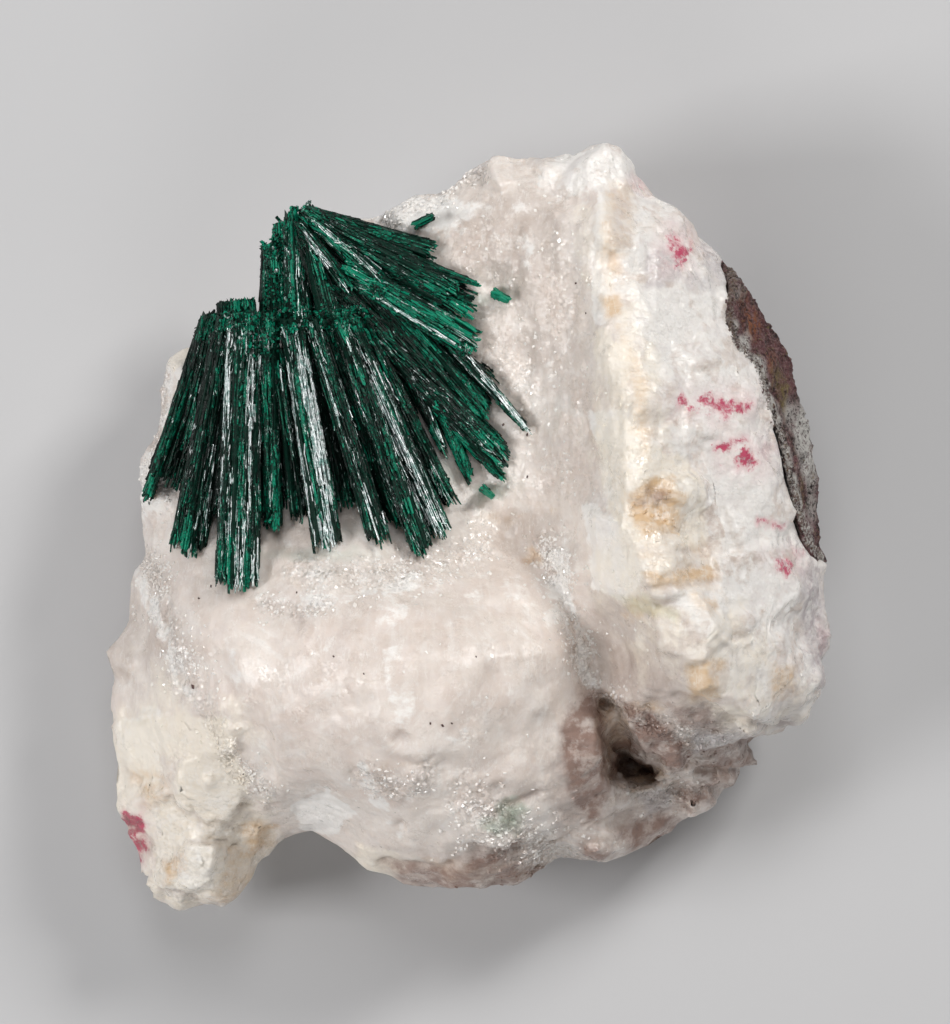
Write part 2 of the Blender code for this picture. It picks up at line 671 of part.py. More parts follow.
def bed_cutter(form):
    """A slightly larger and higher copy of the rock form, for the gap under crystals."""
    shape = form.data.copy()
    centre_x, centre_y = place(*STAR_PX)
    for vertex in shape.vertices:
        vertex.co.x = centre_x + (vertex.co.x - centre_x) * BED_SPREAD
        vertex.co.y = centre_y + (vertex.co.y - centre_y) * BED_SPREAD
        vertex.co.z += BED_LIFT
    item = bpy.data.objects.new("bed_cutter", shape)
    bpy.context.scene.collection.objects.link(item)
    return item


def build_fan(sheet, cutter, material):
    """The whole fan of grown-together bundles as one solid."""
    source = random.Random(SEED + 2)
    fan = None
    for index, bundle in enumerate(REAR_BUNDLES + FRONT_BUNDLES + FILL_BUNDLES):
        rib_width = FILL_RIB_WIDTH_PX if bundle in FILL_BUNDLES else RIB_WIDTH_PX
        piece = bundle_mesh("bundle_%02d" % index, bundle, sheet, source, rib_width)
        if fan is None:
            fan = piece
            fan.name = "malachite_fan"
            continue
        combine(fan, piece, "UNION")
        bpy.data.objects.remove(piece, do_unlink=True)
    combine(fan, cutter, "DIFFERENCE")
    finish_mesh(fan, material)


def build_strays(sheet, cutter, material):
    """The single small crystals that stand apart from the fan."""
    source = random.Random(SEED + 3)
    for name, bundle in STRAY_BUNDLES.items():
        piece = bundle_mesh(name, bundle, sheet, source, RIB_WIDTH_PX)
        combine(piece, cutter, "DIFFERENCE")
        finish_mesh(piece, material)


def build_rock(calcite_material, host_material):
    """The calcite and the host rock, parted along their seam."""
    calcite = rock_form("calcite_matrix")
    host = bpy.data.objects.new("host_rock", calcite.data.copy())
    bpy.context.scene.collection.objects.link(host)
    cutter = bed_cutter(calcite)
    rock_side = seam_cutter("seam_rock_side", 0.0)
    calcite_side = seam_cutter("seam_calcite_side", -GAP)
    combine(host, rock_side, "INTERSECT")
    combine(calcite, calcite_side, "DIFFERENCE")
    finish_mesh(calcite, calcite_material)
    finish_mesh(host, host_material)
    for item in (rock_side, calcite_side):
        bpy.data.objects.remove(item, do_unlink=True)
    return cutter


def main():
    clear_scene()
    calcite_material = make_material("calcite", (0.86, 0.80, 0.76), 0.45)
    host_material = make_material("host_rock", (0.12, 0.06, 0.045), 0.8)
    malachite_material = make_material("malachite", (0.01, 0.14, 0.07), 0.3)
    cutter = build_rock(calcite_material, host_material)
    sheet = crown_sheet()
    build_fan(sheet, cutter, malachite_material)
    build_strays(sheet, cutter, malachite_material)
    bpy.data.objects.remove(cutter, do_unlink=True)


main()
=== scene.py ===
import math

import bpy
import numpy as np
from bpy.props import FloatProperty, FloatVectorProperty, IntProperty, PointerProperty
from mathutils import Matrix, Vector
from mathutils.bvhtree import BVHTree


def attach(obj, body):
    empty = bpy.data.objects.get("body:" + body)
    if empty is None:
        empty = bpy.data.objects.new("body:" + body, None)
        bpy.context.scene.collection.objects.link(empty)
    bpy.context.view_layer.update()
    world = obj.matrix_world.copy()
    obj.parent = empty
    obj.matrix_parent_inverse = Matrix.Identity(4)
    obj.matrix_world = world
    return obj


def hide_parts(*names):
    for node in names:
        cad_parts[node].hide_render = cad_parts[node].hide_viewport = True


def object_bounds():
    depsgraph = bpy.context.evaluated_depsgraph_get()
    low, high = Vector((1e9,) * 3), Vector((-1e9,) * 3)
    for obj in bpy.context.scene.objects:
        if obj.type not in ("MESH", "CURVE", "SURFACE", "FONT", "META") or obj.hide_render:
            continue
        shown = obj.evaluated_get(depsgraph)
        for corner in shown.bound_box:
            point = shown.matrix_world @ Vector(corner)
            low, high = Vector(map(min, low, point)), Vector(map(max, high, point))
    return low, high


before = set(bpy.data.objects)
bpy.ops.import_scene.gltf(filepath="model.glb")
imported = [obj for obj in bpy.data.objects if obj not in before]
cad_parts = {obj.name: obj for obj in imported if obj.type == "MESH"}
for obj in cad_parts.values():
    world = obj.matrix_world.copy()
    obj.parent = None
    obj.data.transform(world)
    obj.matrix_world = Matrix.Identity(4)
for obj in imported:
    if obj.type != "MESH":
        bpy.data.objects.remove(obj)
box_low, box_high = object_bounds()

bl_info = {
    "name": "Malachite on calcite",
    "version": (1, 0, 0),
    "blender": (4, 5, 0),
    "location": "3D View > Sidebar > Specimen",
    "description": "Dresses the specimen: calcite, host rock and a fan of malachite needles",
    "category": "Object",
}

# Places are given in picture points and turned into millimetres on the specimen
MIDDLE_PX = (468.0, 530.5)
MM_PER_PX = 0.1
MM = 0.001

# Lines that look for a surface start well above the specimen and go down
ABOVE = 0.2
DOWN = Vector((0.0, 0.0, -1.0))

# Most triangles of one piece, and how many the calcite is thinned to
MOST_TRIANGLES = 200000
THINNED_TRIANGLES = 190000

# Fine relief fades out below this level in millimetres, so that the back stays flat
BASE_FADE = 1.2

# The ridge's crest and the seam between calcite and host rock
CREST_PX = [
    (607, 152), (602, 200), (600, 262), (608, 330), (622, 392), (628, 448), (626, 505),
    (634, 560), (656, 606), (690, 648), (718, 688), (745, 722),
]
SEAM_PX = [
    (731, 266), (732, 285), (728, 303), (727, 322), (735, 345), (757, 365), (767, 403),
    (781, 440), (789, 478), (799, 515), (811, 548), (822, 558),
]

# Patches of colour and texture on the calcite: place, half width, half height, strength
CREAM_PATCHES = [
    (628, 420, 42, 150, 0.7), (640, 560, 60, 70, 0.6), (600, 250, 30, 90, 0.5),
    (210, 780, 44, 46, 1.0), (170, 730, 50, 60, 0.6), (200, 870, 45, 45, 0.6),
    (120, 650, 26, 30, 0.2), (720, 660, 60, 60, 0.6), (780, 700, 40, 34, 0.6),
    (660, 640, 60, 50, 0.5), (370, 868, 50, 22, 0.7), (182, 356, 30, 24, 0.6),
    (200, 840, 70, 70, 1.1), (130, 780, 40, 70, 0.9), (230, 720, 40, 40, 0.5),
]
WHITE_PATCHES = [
    (690, 330, 70, 140, 0.56), (740, 470, 60, 120, 0.62), (760, 600, 60, 70, 0.54),
    (600, 170, 60, 30, 0.7), (420, 215, 60, 22, 0.8), (700, 560, 60, 70, 0.5),
    (180, 410, 26, 60, 0.6), (145, 480, 22, 40, 0.6), (450, 600, 110, 40, 0.24),
    (560, 600, 14, 60, 0.5), (330, 570, 60, 26, 0.3), (584, 660, 8, 24, 0.4),
]
AMBER_PATCHES = [
    (655, 498, 26, 17, 1.3), (668, 520, 14, 22, 0.7), (612, 262, 10, 18, 0.6),
    (615, 185, 10, 9, 0.4), (603, 312, 8, 10, 0.4), (632, 382, 12, 10, 0.4),
    (640, 432, 16, 9, 0.5), (650, 556, 22, 10, 0.6), (690, 576, 24, 9, 0.5),
    (712, 664, 18, 10, 0.6), (700, 692, 20, 8, 0.6), (640, 706, 30, 9, 0.5),
    (170, 866, 12, 12, 0.5), (236, 866, 18, 14, 0.5), (146, 792, 14, 18, 0.4),
    (262, 834, 12, 10, 0.6), (640, 608, 24, 14, 0.45), (532, 556, 9, 9, 0.7),
    (720, 420, 10, 40, 0.15), (500, 520, 24, 10, 0.3), (548, 508, 14, 10, 0.3),
    (615, 742, 16, 34, 0.7), (645, 775, 26, 14, 0.8), (405, 763, 36, 6, 0.3),
]
PINK_PATCHES = [
    (672, 244, 11, 12, 0.9), (680, 256, 11, 13, 1.1), (677, 266, 8, 8, 1.1),
    (690, 250, 7, 12, 0.7), (676, 250, 24, 30, 0.42), (643, 184, 14, 12, 0.5),
    (678, 402, 7, 9, 0.95), (688, 412, 8, 8, 0.95), (704, 402, 12, 9, 1.1),
    (722, 406, 16, 9, 1.1), (738, 408, 14, 8, 0.9), (748, 402, 12, 7, 0.6),
    (722, 405, 52, 22, 0.42), (720, 447, 12, 8, 1.1), (734, 441, 12, 6, 0.85),
    (745, 462, 14, 13, 1.25), (762, 452, 16, 12, 0.55), (742, 455, 34, 26, 0.42),
    (764, 521, 8, 4, 0.9), (772, 526, 9, 4, 1.0), (783, 564, 11, 8, 1.1),
    (777, 571, 7, 6, 1.0), (798, 553, 10, 9, 0.6), (785, 560, 24, 16, 0.38),
    (822, 640, 5, 16, 0.4), (127, 822, 11, 9, 1.5), (139, 824, 8, 10, 1.4),
    (131, 836, 7, 9, 1.1), (141, 847, 8, 10, 1.3), (134, 860, 6, 10, 1.4),
    (136, 840, 16, 34, 0.42),
]
GREEN_PATCHES = [
    (508, 814, 13, 12, 0.8), (514, 805, 13, 8, 0.6), (494, 823, 13, 9, 0.55),
    (478, 300, 14, 7, 0.3), (452, 302, 10, 14, 0.5), (448, 470, 12, 22, 0.25),
    (490, 492, 16, 8, 0.3), (320, 552, 60, 7, 0.25), (190, 458, 16, 8, 0.35),
]
BROKEN_PATCHES = [
    (190, 850, 90, 80, 0.8), (700, 770, 130, 60, 1.0), (560, 850, 90, 30, 0.8),
    (560, 170, 120, 30, 0.5), (150, 480, 30, 60, 0.4), (640, 500, 50, 60, 0.6),
]
# Patches that only the relief and the scattered flakes use
FOOT_PATCHES = [(190, 820, 100, 110, 1.0)]
LEDGE_PATCHES = [(690, 770, 120, 60, 1.0), (560, 850, 90, 30, 0.8)]
DOME_PATCHES = [(390, 690, 190, 150, 1.0)]
FLAKED_PATCHES = [
    (190, 830, 90, 100, 0.15), (620, 800, 190, 90, 0.5), (628, 500, 60, 260, 0.4),
    (560, 170, 130, 30, 0.6),
]
# Flat cleavage faces of the calcite: outline, height, and extra rise to the right and up
FACES = [
    ([(170, 782), (184, 758), (232, 756), (246, 782), (241, 805), (223, 822), (205, 825),
      (183, 813)], 0.14, -0.06, -0.06),
    ([(136, 716), (176, 710), (226, 716), (238, 752), (182, 756), (150, 748)], 0.25, 0.0, 0.0),
    ([(118, 738), (152, 716), (164, 742), (162, 788), (128, 800)], 0.15, 0.0, 0.0),
    ([(146, 816), (180, 816), (196, 826), (186, 846), (158, 852)], 0.1, 0.08, 0.0),
    ([(198, 830), (240, 822), (252, 834), (226, 840), (200, 840)], 0.1, 0.0, 0.15),
    ([(182, 858), (190, 844), (217, 844), (218, 878), (196, 892), (178, 890)], 0.12, 0.12, 0.12),
    ([(138, 846), (160, 852), (166, 894), (150, 898)], 0.2, 0.2, 0.0),
    ([(218, 848), (252, 848), (250, 890), (226, 908), (206, 898)], 0.2, -0.20, 0.05),
    ([(236, 824), (264, 822), (258, 852), (240, 860)], 0.4, 0.2, 0.0),
    ([(296, 806), (326, 790), (352, 812), (332, 828), (300, 826)], 0.3, 0.0, -0.12),
    ([(582, 162), (606, 146), (626, 152), (634, 186), (612, 200), (588, 190)], 0.3, 0.15, 0.1),
    ([(652, 250), (700, 240), (716, 300), (690, 352), (650, 330)], 0.25, -0.05, 0.08),
    ([(690, 370), (740, 362), (764, 400), (740, 430), (690, 424)], 0.2, 0.08, -0.08),
    ([(700, 440), (752, 436), (780, 480), (750, 520), (706, 500)], 0.2, -0.06, 0.1),
    ([(590, 512), (622, 522), (644, 572), (622, 596), (596, 584)], 0.5, 0.10, 0.08),
    ([(650, 600), (700, 590), (724, 640), (700, 660), (656, 650)], 0.3, 0.10, -0.10),
    ([(712, 560), (770, 540), (800, 590), (780, 650), (728, 640)], 0.3, 0.05, 0.10),
    ([(682, 664), (706, 660), (714, 684), (692, 696)], 0.55, 0.20, -0.12),
    ([(728, 668), (790, 660), (806, 700), (770, 728), (736, 712)], 0.4, 0.12, -0.12),
    ([(676, 738), (742, 726), (748, 752), (690, 772)], 0.4, 0.12, -0.15),
    ([(690, 776), (742, 756), (752, 772), (706, 806)], 0.3, 0.10, -0.15),
    ([(610, 812), (664, 796), (690, 812), (640, 846)], 0.3, 0.08, -0.18),
    ([(560, 806), (600, 796), (612, 840), (572, 856)], 0.2, 0.15, -0.10),
    ([(484, 160), (520, 152), (540, 176), (500, 190)], 0.25, 0.0, -0.12),
    ([(440, 186), (480, 170), (492, 196), (450, 214)], 0.25, -0.12, -0.08),
    ([(356, 846), (400, 852), (410, 880), (366, 868)], 0.25, 0.10, 0.15),
    ([(112, 640), (132, 622), (146, 650), (126, 676)], 0.25, 0.15, 0.0),
]
# White veins: line, reach in picture points and strength
VEINS = [
    ([(603, 190), (600, 232), (598, 282), (600, 320)], 9, 0.8),
    ([(556, 556), (570, 600), (578, 640), (590, 682)], 6, 0.8),
    ([(400, 600), (396, 660), (404, 720)], 16, 0.27),
    ([(450, 620), (462, 680), (456, 740)], 14, 0.24),
    ([(330, 600), (322, 660), (334, 720)], 13, 0.22),
    ([(364, 766), (380, 800), (400, 832)], 8, 0.52),
    ([(228, 640), (240, 690), (262, 740)], 8, 0.28),
    ([(520, 200), (536, 280), (546, 360)], 12, 0.28),
    ([(130, 560), (160, 620), (190, 690)], 9, 0.5),
    ([(262, 600), (330, 600), (420, 580)], 10, 0.36),
]
# Zones of the calcite that differ in colour: outline, colour and strength. The dark zones are
# painted shade in the hollow, the folds, the ledges and along the lower edge; the shade zones are
# clearer calcite, and painted shade in the valley and on the ledges.
ZONES = [
    ([(605, 180), (627, 182), (634, 200), (637, 232), (627, 255), (617, 270), (612, 295),
      (605, 292), (597, 267), (598, 235)], "amber", 0.45),
    ([(598, 300), (616, 296), (617, 316), (604, 321)], "amber", 0.85),
    ([(612, 320), (627, 340), (640, 362), (650, 387), (650, 430), (637, 430), (630, 387),
      (615, 345)], "amber", 0.52),
    ([(642, 258), (674, 258), (676, 286), (650, 288)], "shade", 0.55),
    ([(590, 325), (612, 330), (632, 375), (640, 440), (592, 445)], "cream", 0.75),
    ([(592, 440), (650, 440), (700, 480), (710, 545), (640, 560), (600, 500)], "cream", 0.9),
    ([(627, 502), (655, 478), (672, 480), (674, 505), (673, 535), (645, 538), (631, 522)],
     "amber", 1.1),
    ([(637, 540), (716, 540), (716, 592), (652, 588)], "amber", 0.45),
    ([(588, 510), (620, 524), (642, 572), (622, 594), (596, 584)], "white", 1.1),
    ([(590, 582), (627, 600), (660, 630), (688, 655), (652, 670), (606, 676)], "shade", 1.0),
    ([(685, 664), (708, 660), (716, 696), (690, 700)], "amber", 0.95),
    ([(764, 658), (797, 664), (797, 694), (768, 702)], "amber", 0.62),
    ([(700, 700), (740, 706), (760, 730), (716, 728)], "cream", 0.8),
    ([(170, 782), (184, 758), (232, 756), (246, 782), (241, 805), (223, 822), (205, 825),
      (183, 813)], "cream", 1.3),
    ([(125, 722), (176, 710), (230, 716), (240, 750), (182, 760), (140, 760)], "cream", 0.8),
    ([(124, 790), (137, 790), (139, 808), (128, 810)], "cream", 0.9),
    ([(140, 785), (165, 778), (168, 800), (152, 812), (142, 806)], "amber", 0.55),
    ([(120, 722), (160, 712), (168, 740), (150, 770), (122, 762)], "white", 0.9),
    ([(126, 770), (150, 768), (162, 778), (140, 784), (126, 788)], "amber", 0.55),
    ([(182, 858), (190, 844), (217, 844), (218, 878), (196, 894), (178, 890)], "white", 1.0),
    ([(163, 862), (184, 854), (188, 870), (166, 880)], "amber", 1.0),
    ([(218, 848), (256, 846), (252, 890), (226, 910), (200, 900), (218, 880)], "amber", 0.52),
    ([(136, 868), (158, 886), (172, 894), (160, 900), (136, 890)], "cream", 1.2),
    ([(160, 894), (196, 902), (190, 916), (170, 914)], "cream", 0.9),
    ([(242, 828), (262, 822), (280, 830), (262, 852), (246, 860)], "amber", 0.85),
    ([(296, 806), (326, 790), (352, 812), (334, 830), (300, 826)], "white", 1.1),
    ([(480, 560), (560, 566), (590, 640), (560, 700), (500, 660)], "shade", 0.32),
    ([(300, 690), (350, 680), (380, 740), (330, 770)], "shade", 0.30),
    ([(420, 856), (520, 862), (590, 868), (560, 884), (440, 882)], "amber", 0.5),
    ([(598, 690), (622, 720), (618, 780), (600, 780), (592, 730)], "amber", 0.6),
    ([(592, 412), (632, 414), (634, 442), (604, 446), (592, 436)], "white", 1.0),
    ([(634, 416), (645, 416), (646, 464), (636, 462)], "amber", 0.6),
    ([(644, 571), (712, 564), (716, 578), (652, 588)], "amber", 0.95),
    ([(684, 590), (716, 594), (718, 616), (694, 612)], "amber", 0.55),
    ([(612, 592), (644, 596), (676, 612), (672, 622), (640, 612)], "olive", 0.9),
    ([(740, 532), (790, 524), (808, 534), (790, 548), (744, 546)], "white", 1.2),
    ([(716, 560), (745, 547), (775, 552), (792, 562), (770, 571), (740, 573)], "shade", 0.9),
    ([(643, 256), (670, 254), (676, 276), (662, 290), (645, 286)], "lilac", 1.2),
    ([(627, 252), (645, 250), (644, 270), (634, 272)], "white", 1.1),
    ([(682, 272), (712, 274), (716, 294), (686, 290)], "lilac", 0.8),
    ([(700, 240), (720, 252), (734, 280), (722, 286), (704, 262)], "lilac", 1.1),
    ([(632, 284), (684, 296), (700, 330), (668, 352), (634, 336)], "white", 1.3),
    ([(796, 566), (822, 572), (830, 640), (824, 690), (806, 660)], "lilac", 0.9),
    ([(740, 628), (756, 624), (758, 640), (746, 644)], "shade", 1.1),
    ([(676, 590), (738, 586), (742, 612), (690, 616)], "white", 1.1),
    ([(682, 662), (704, 658), (712, 678), (690, 694)], "shade", 0.8),
    ([(752, 704), (768, 704), (772, 726), (758, 722)], "white", 1.2),
    ([(776, 692), (800, 690), (796, 724), (778, 730)], "lilac", 1.1),
    ([(580, 690), (598, 692), (608, 740), (606, 800), (590, 826), (568, 790), (562, 730)],
     "dark", 0.95),
    ([(616, 700), (650, 712), (680, 738), (692, 762), (672, 774), (636, 736)], "dark", 1.2),
    ([(664, 700), (700, 704), (726, 722), (716, 732), (676, 724)], "dark", 0.6),
    ([(700, 770), (748, 766), (742, 790), (704, 794)], "dark", 0.6),
    ([(600, 640), (640, 650), (680, 700), (640, 706), (606, 680)], "dark", 0.30),
    ([(612, 790), (668, 794), (660, 816), (620, 824)], "dark", 0.25),
    ([(606, 800), (640, 806), (634, 830), (612, 826)], "dark", 0.4),
    ([(636, 794), (674, 792), (670, 812), (650, 822)], "lilac", 0.9),
    ([(694, 730), (740, 738), (764, 744), (736, 748), (694, 760)], "lilac", 1.0),
    ([(700, 752), (760, 748), (758, 770), (704, 774)], "dark", 0.75),
    ([(700, 776), (742, 774), (738, 786), (704, 788)], "shade", 1.1),
    ([(676, 792), (724, 792), (714, 804), (680, 812)], "dark", 0.8),
    ([(616, 828), (676, 814), (690, 826), (632, 858)], "dark", 0.8),
    ([(578, 844), (608, 846), (612, 862), (590, 868)], "dark", 0.8),
    ([(384, 866), (446, 872), (480, 852), (512, 856), (560, 872), (540, 890), (440, 894),
      (400, 884)], "dark", 0.85),
    ([(548, 760), (578, 756), (588, 820), (556, 830)], "dark", 0.35),
]
# Cracks and undercut edges: line, reach in picture points and depth in millimetres. The depth
# carves the surface and also darkens its colour as painted shade.
CRACKS = [
    ([(168, 798), (176, 810), (190, 814), (205, 827), (219, 822), (231, 826), (243, 806)], 3, 0.28),
    ([(189, 842), (206, 843), (226, 840)], 2, 0.30),
    ([(158, 892), (180, 893), (198, 903)], 3, 0.40),
    ([(120, 770), (136, 782), (142, 808)], 3, 0.20),
    ([(690, 764), (712, 756), (738, 749), (766, 745)], 6, 0.9),
    ([(700, 775), (722, 771), (744, 773)], 4, 0.6),
    ([(676, 794), (700, 789), (726, 791), (742, 784)], 5, 0.45),
    ([(640, 824), (660, 815), (676, 812), (690, 800)], 7, 0.5),
    ([(672, 694), (700, 700), (722, 712), (742, 722)], 3, 0.35),
    ([(720, 714), (745, 720), (772, 729), (790, 724)], 3, 0.45),
    ([(476, 848), (492, 851), (508, 853), (516, 846)], 6, 0.7),
    ([(382, 864), (410, 868), (442, 871), (450, 864)], 5, 0.6),
    ([(409, 758), (418, 763), (427, 760), (435, 750)], 3, 0.15),
    ([(538, 790), (518, 800), (506, 804), (490, 822)], 4, 0.45),
    ([(620, 545), (660, 551), (704, 548)], 3, 0.18),
    ([(640, 588), (680, 584), (716, 578)], 3, 0.20),
    ([(656, 606), (688, 624), (706, 650)], 3, 0.20),
    ([(716, 640), (736, 656), (738, 680)], 3, 0.16),
]
# More patches of the calcite: place, half width, half height, strength
# Painted shade in the valley, on the slope top, at the left margin and along the lower edges, and
# partly clearer calcite
SHADE_PATCHES = [
    (640, 668, 46, 30, 0.9), (606, 640, 20, 30, 0.35), (700, 712, 40, 20, 0.5),
    (560, 560, 20, 30, 0.6), (526, 530, 36, 24, 0.9), (470, 500, 30, 40, 0.4),
    (134, 620, 24, 50, 0.6), (150, 680, 20, 26, 0.5), (300, 790, 50, 26, 0.4),
    (290, 740, 40, 40, 0.3), (430, 860, 120, 20, 0.5), (610, 850, 80, 24, 0.6),
    (350, 610, 40, 30, 0.3), (540, 700, 40, 60, 0.3), (470, 240, 30, 40, 0.4),
    (520, 300, 40, 80, 0.4), (560, 250, 20, 60, 0.3), (680, 200, 18, 20, 0.3),
    (660, 268, 20, 14, 0.5), (710, 445, 30, 14, 0.4), (760, 566, 50, 14, 0.35),
    (510, 240, 60, 60, 0.95), (545, 330, 34, 80, 0.6), (640, 640, 50, 60, 0.95),
    (160, 640, 30, 70, 0.7), (616, 380, 26, 90, 0.55), (380, 690, 120, 80, 0.30),
    (120, 655, 20, 34, 0.95), (690, 640, 36, 32, 0.65), (150, 830, 14, 16, 0.4),
    (430, 876, 70, 12, 0.5), (560, 576, 18, 24, 0.4),
]
# Shiny faces: lower roughness and more relief, and a painted sheen of white colour
GLOSS_AND_SHEEN_PATCHES = [
    (196, 866, 20, 20, 1.0), (314, 812, 20, 10, 1.0), (260, 774, 8, 7, 1.0),
    (302, 748, 5, 6, 1.0), (175, 662, 12, 14, 0.6), (200, 694, 6, 14, 0.6),
    (580, 640, 8, 40, 0.5), (596, 684, 8, 12, 0.8), (560, 580, 10, 30, 0.5),
    (640, 730, 30, 8, 0.6), (650, 792, 20, 8, 0.6), (500, 810, 60, 20, 0.4),
    (420, 790, 20, 14, 0.5), (540, 860, 40, 8, 0.5), (480, 180, 40, 10, 0.4),
    (610, 500, 10, 40, 0.4), (130, 560, 10, 30, 0.5), (650, 555, 20, 5, 0.6),
]
CRUST_PATCHES = [
    (812, 600, 14, 50, 0.9), (820, 660, 10, 40, 0.8), (700, 200, 16, 12, 0.3),
    (716, 250, 10, 26, 0.45), (778, 470, 10, 30, 0.5), (765, 440, 8, 16, 0.5),
    (800, 680, 14, 20, 0.4), (794, 540, 8, 14, 0.5), (688, 770, 60, 8, 0.3),
]
# Painted shade in the pits, the hollow, the fold and along the lower edge, and darker grains in
# some pink and green spots
DARK_PATCHES = [
    (530, 556, 12, 6, 0.22), (400, 826, 6, 6, 0.3),
    (298, 620, 9, 7, 0.2), (400, 735, 9, 7, 0.25), (586, 750, 18, 40, 0.34),
    (640, 772, 30, 14, 0.5), (575, 868, 30, 8, 0.3), (430, 878, 44, 7, 0.28),
    (640, 812, 40, 8, 0.2), (656, 496, 13, 10, 0.65), (636, 505, 7, 5, 0.4),
    (130, 824, 12, 10, 0.5), (140, 846, 9, 10, 0.4), (134, 860, 6, 8, 0.5),
    (505, 815, 14, 12, 0.35),
]
# Outline of the three-cornered hollow, where shade is painted into the colour
HOLLOW_PX = [
    (594, 684), (612, 700), (640, 738), (668, 764), (669, 785), (634, 790), (603, 786),
    (597, 740),
]
# Small pits: place, reach in picture points and depth in millimetres
PITS = [
    (530, 556, 10, 0.6), (400, 826, 7, 0.7), (298, 620, 10, 0.5),
    (400, 735, 9, 0.5), (655, 500, 20, 0.9), (612, 262, 10, 0.6),
    (500, 790, 12, 0.5), (575, 868, 16, 0.8), (356, 770, 8, 0.5), (470, 600, 8, 0.3),
]
# Bands of druse: line, reach in picture points and number of grains
DRUSE_BANDS = [
    ([(385, 225), (430, 200), (480, 175)], 12, 450),
    ([(140, 492), (160, 470), (200, 455)], 14, 700),
    ([(150, 560), (160, 600), (176, 640), (190, 690)], 14, 1100),
    ([(205, 700), (225, 740), (245, 775), (268, 790)], 10, 500),
    ([(262, 604), (300, 612), (330, 600)], 9, 160),
    ([(540, 540), (562, 575), (575, 640), (598, 692)], 11, 1300),
    ([(606, 700), (640, 716), (700, 742), (720, 735)], 12, 600),
    ([(630, 792), (660, 800), (700, 790)], 10, 220),
    ([(470, 800), (520, 840), (560, 872)], 24, 1100),
    ([(365, 768), (400, 790), (430, 770)], 12, 180),
    ([(480, 230), (490, 330), (500, 420), (500, 500)], 44, 160),
    ([(560, 200), (565, 300), (572, 400), (560, 480)], 26, 200),
    ([(300, 570), (400, 575), (480, 545)], 16, 700),
    ([(160, 360), (162, 410), (150, 440)], 10, 160),
]
# Small crystals in the amber pocket: place and size in picture points
POCKET_CRYSTALS = [
    (624, 475, 7), (642, 470, 8), (631, 514, 8), (643, 512, 6), (650, 516, 6), (658, 514, 7),
    (664, 520, 6), (672, 524, 7), (648, 534, 6), (655, 540, 6), (676, 534, 6), (684, 537, 5),
    (700, 562, 6), (660, 478, 5), (667, 492, 5), (636, 498, 4),
]
# Tiny dark grains on the calcite: place and size in picture points
SPECKS = [
    (212, 586, 2.2), (200, 598, 1.8), (194, 686, 3.4), (431, 721, 2.0), (443, 723, 2.4),
    (452, 721, 1.8), (335, 655, 1.8), (365, 672, 1.6), (575, 285, 2.0), (585, 315, 2.0),
    (527, 435, 2.4), (527, 477, 2.0), (503, 425, 2.2), (244, 773, 2.2), (298, 592, 1.6),
    (618, 706, 1.8), (476, 655, 1.4),
]
# Patches of colour on the host rock
RUST_PATCHES = [(750, 325, 8, 16, 0.8), (742, 300, 6, 10, 0.4), (771, 362, 6, 12, 0.4)]
OLIVE_PATCHES = [(784, 398, 6, 18, 0.9), (776, 380, 5, 10, 0.6), (800, 500, 5, 20, 0.4)]
PALE_PATCHES = [
    (744, 346, 5, 12, 0.9), (760, 374, 5, 14, 0.8), (772, 412, 4, 12, 0.7),
    (803, 430, 9, 30, 1.0), (808, 465, 7, 22, 0.9), (790, 415, 8, 14, 0.6),
    (812, 505, 6, 16, 0.5), (738, 292, 5, 8, 0.4), (732, 330, 4, 12, 0.8),
]

# Malachite bundles: start, tip, widths, heights of start and tip in millimetres,
# thickness at start and tip, brightness of the green, share of silky needles
# The silky needles carry a painted silver sheen
REAR_BUNDLES = [
    ((282, 223), (280, 270), 14, 22, 21.0, 21.8, 4.0, 5.0, 0.75, 0.05),
    ((276, 241), (277, 335), 26, 36, 22.0, 23.0, 4.5, 5.5, 0.50, 0.12),
    ((293, 209), (300, 335), 16, 30, 23.5, 25.2, 4.0, 6.0, 0.50, 0.25),
    ((303, 215), (336, 330), 14, 28, 24.5, 26.5, 4.0, 6.0, 0.45, 0.25),
    ((304, 211), (434, 253), 10, 21, 23.0, 25.4, 3.6, 2.6, 0.40, 0.05),
    ((304, 213), (452, 294), 16, 38, 24.2, 26.8, 4.2, 3.6, 0.30, 0.15),
    ((301, 211), (388, 288), 12, 20, 25.2, 26.5, 3.0, 5.0, 0.35, 0.80),
    ((420, 264), (480, 286), 10, 3, 26.0, 27.0, 2.0, 2.0, 0.60, 0.05),
    ((298, 220), (350, 290), 12, 14, 25.0, 26.8, 3.0, 5.0, 0.30, 0.70),
    ((338, 264), (474, 346), 22, 30, 26.0, 27.7, 5.0, 3.8, 0.60, 0.30),
    ((384, 292), (486, 414), 24, 26, 25.4, 26.8, 4.6, 3.4, 0.35, 0.05),
    ((330, 282), (504, 462), 28, 30, 25.6, 27.3, 5.0, 3.6, 0.22, 0.12),
    ((425, 372), (470, 478), 16, 9, 25.6, 26.2, 3.6, 2.8, 0.50, 0.05),
    ((430, 398), (502, 478), 18, 9, 26.2, 26.2, 3.0, 2.2, 0.60, 0.08),
    ((450, 342), (527, 430), 13, 6, 26.9, 28.0, 3.2, 2.4, 0.40, 0.90),
]
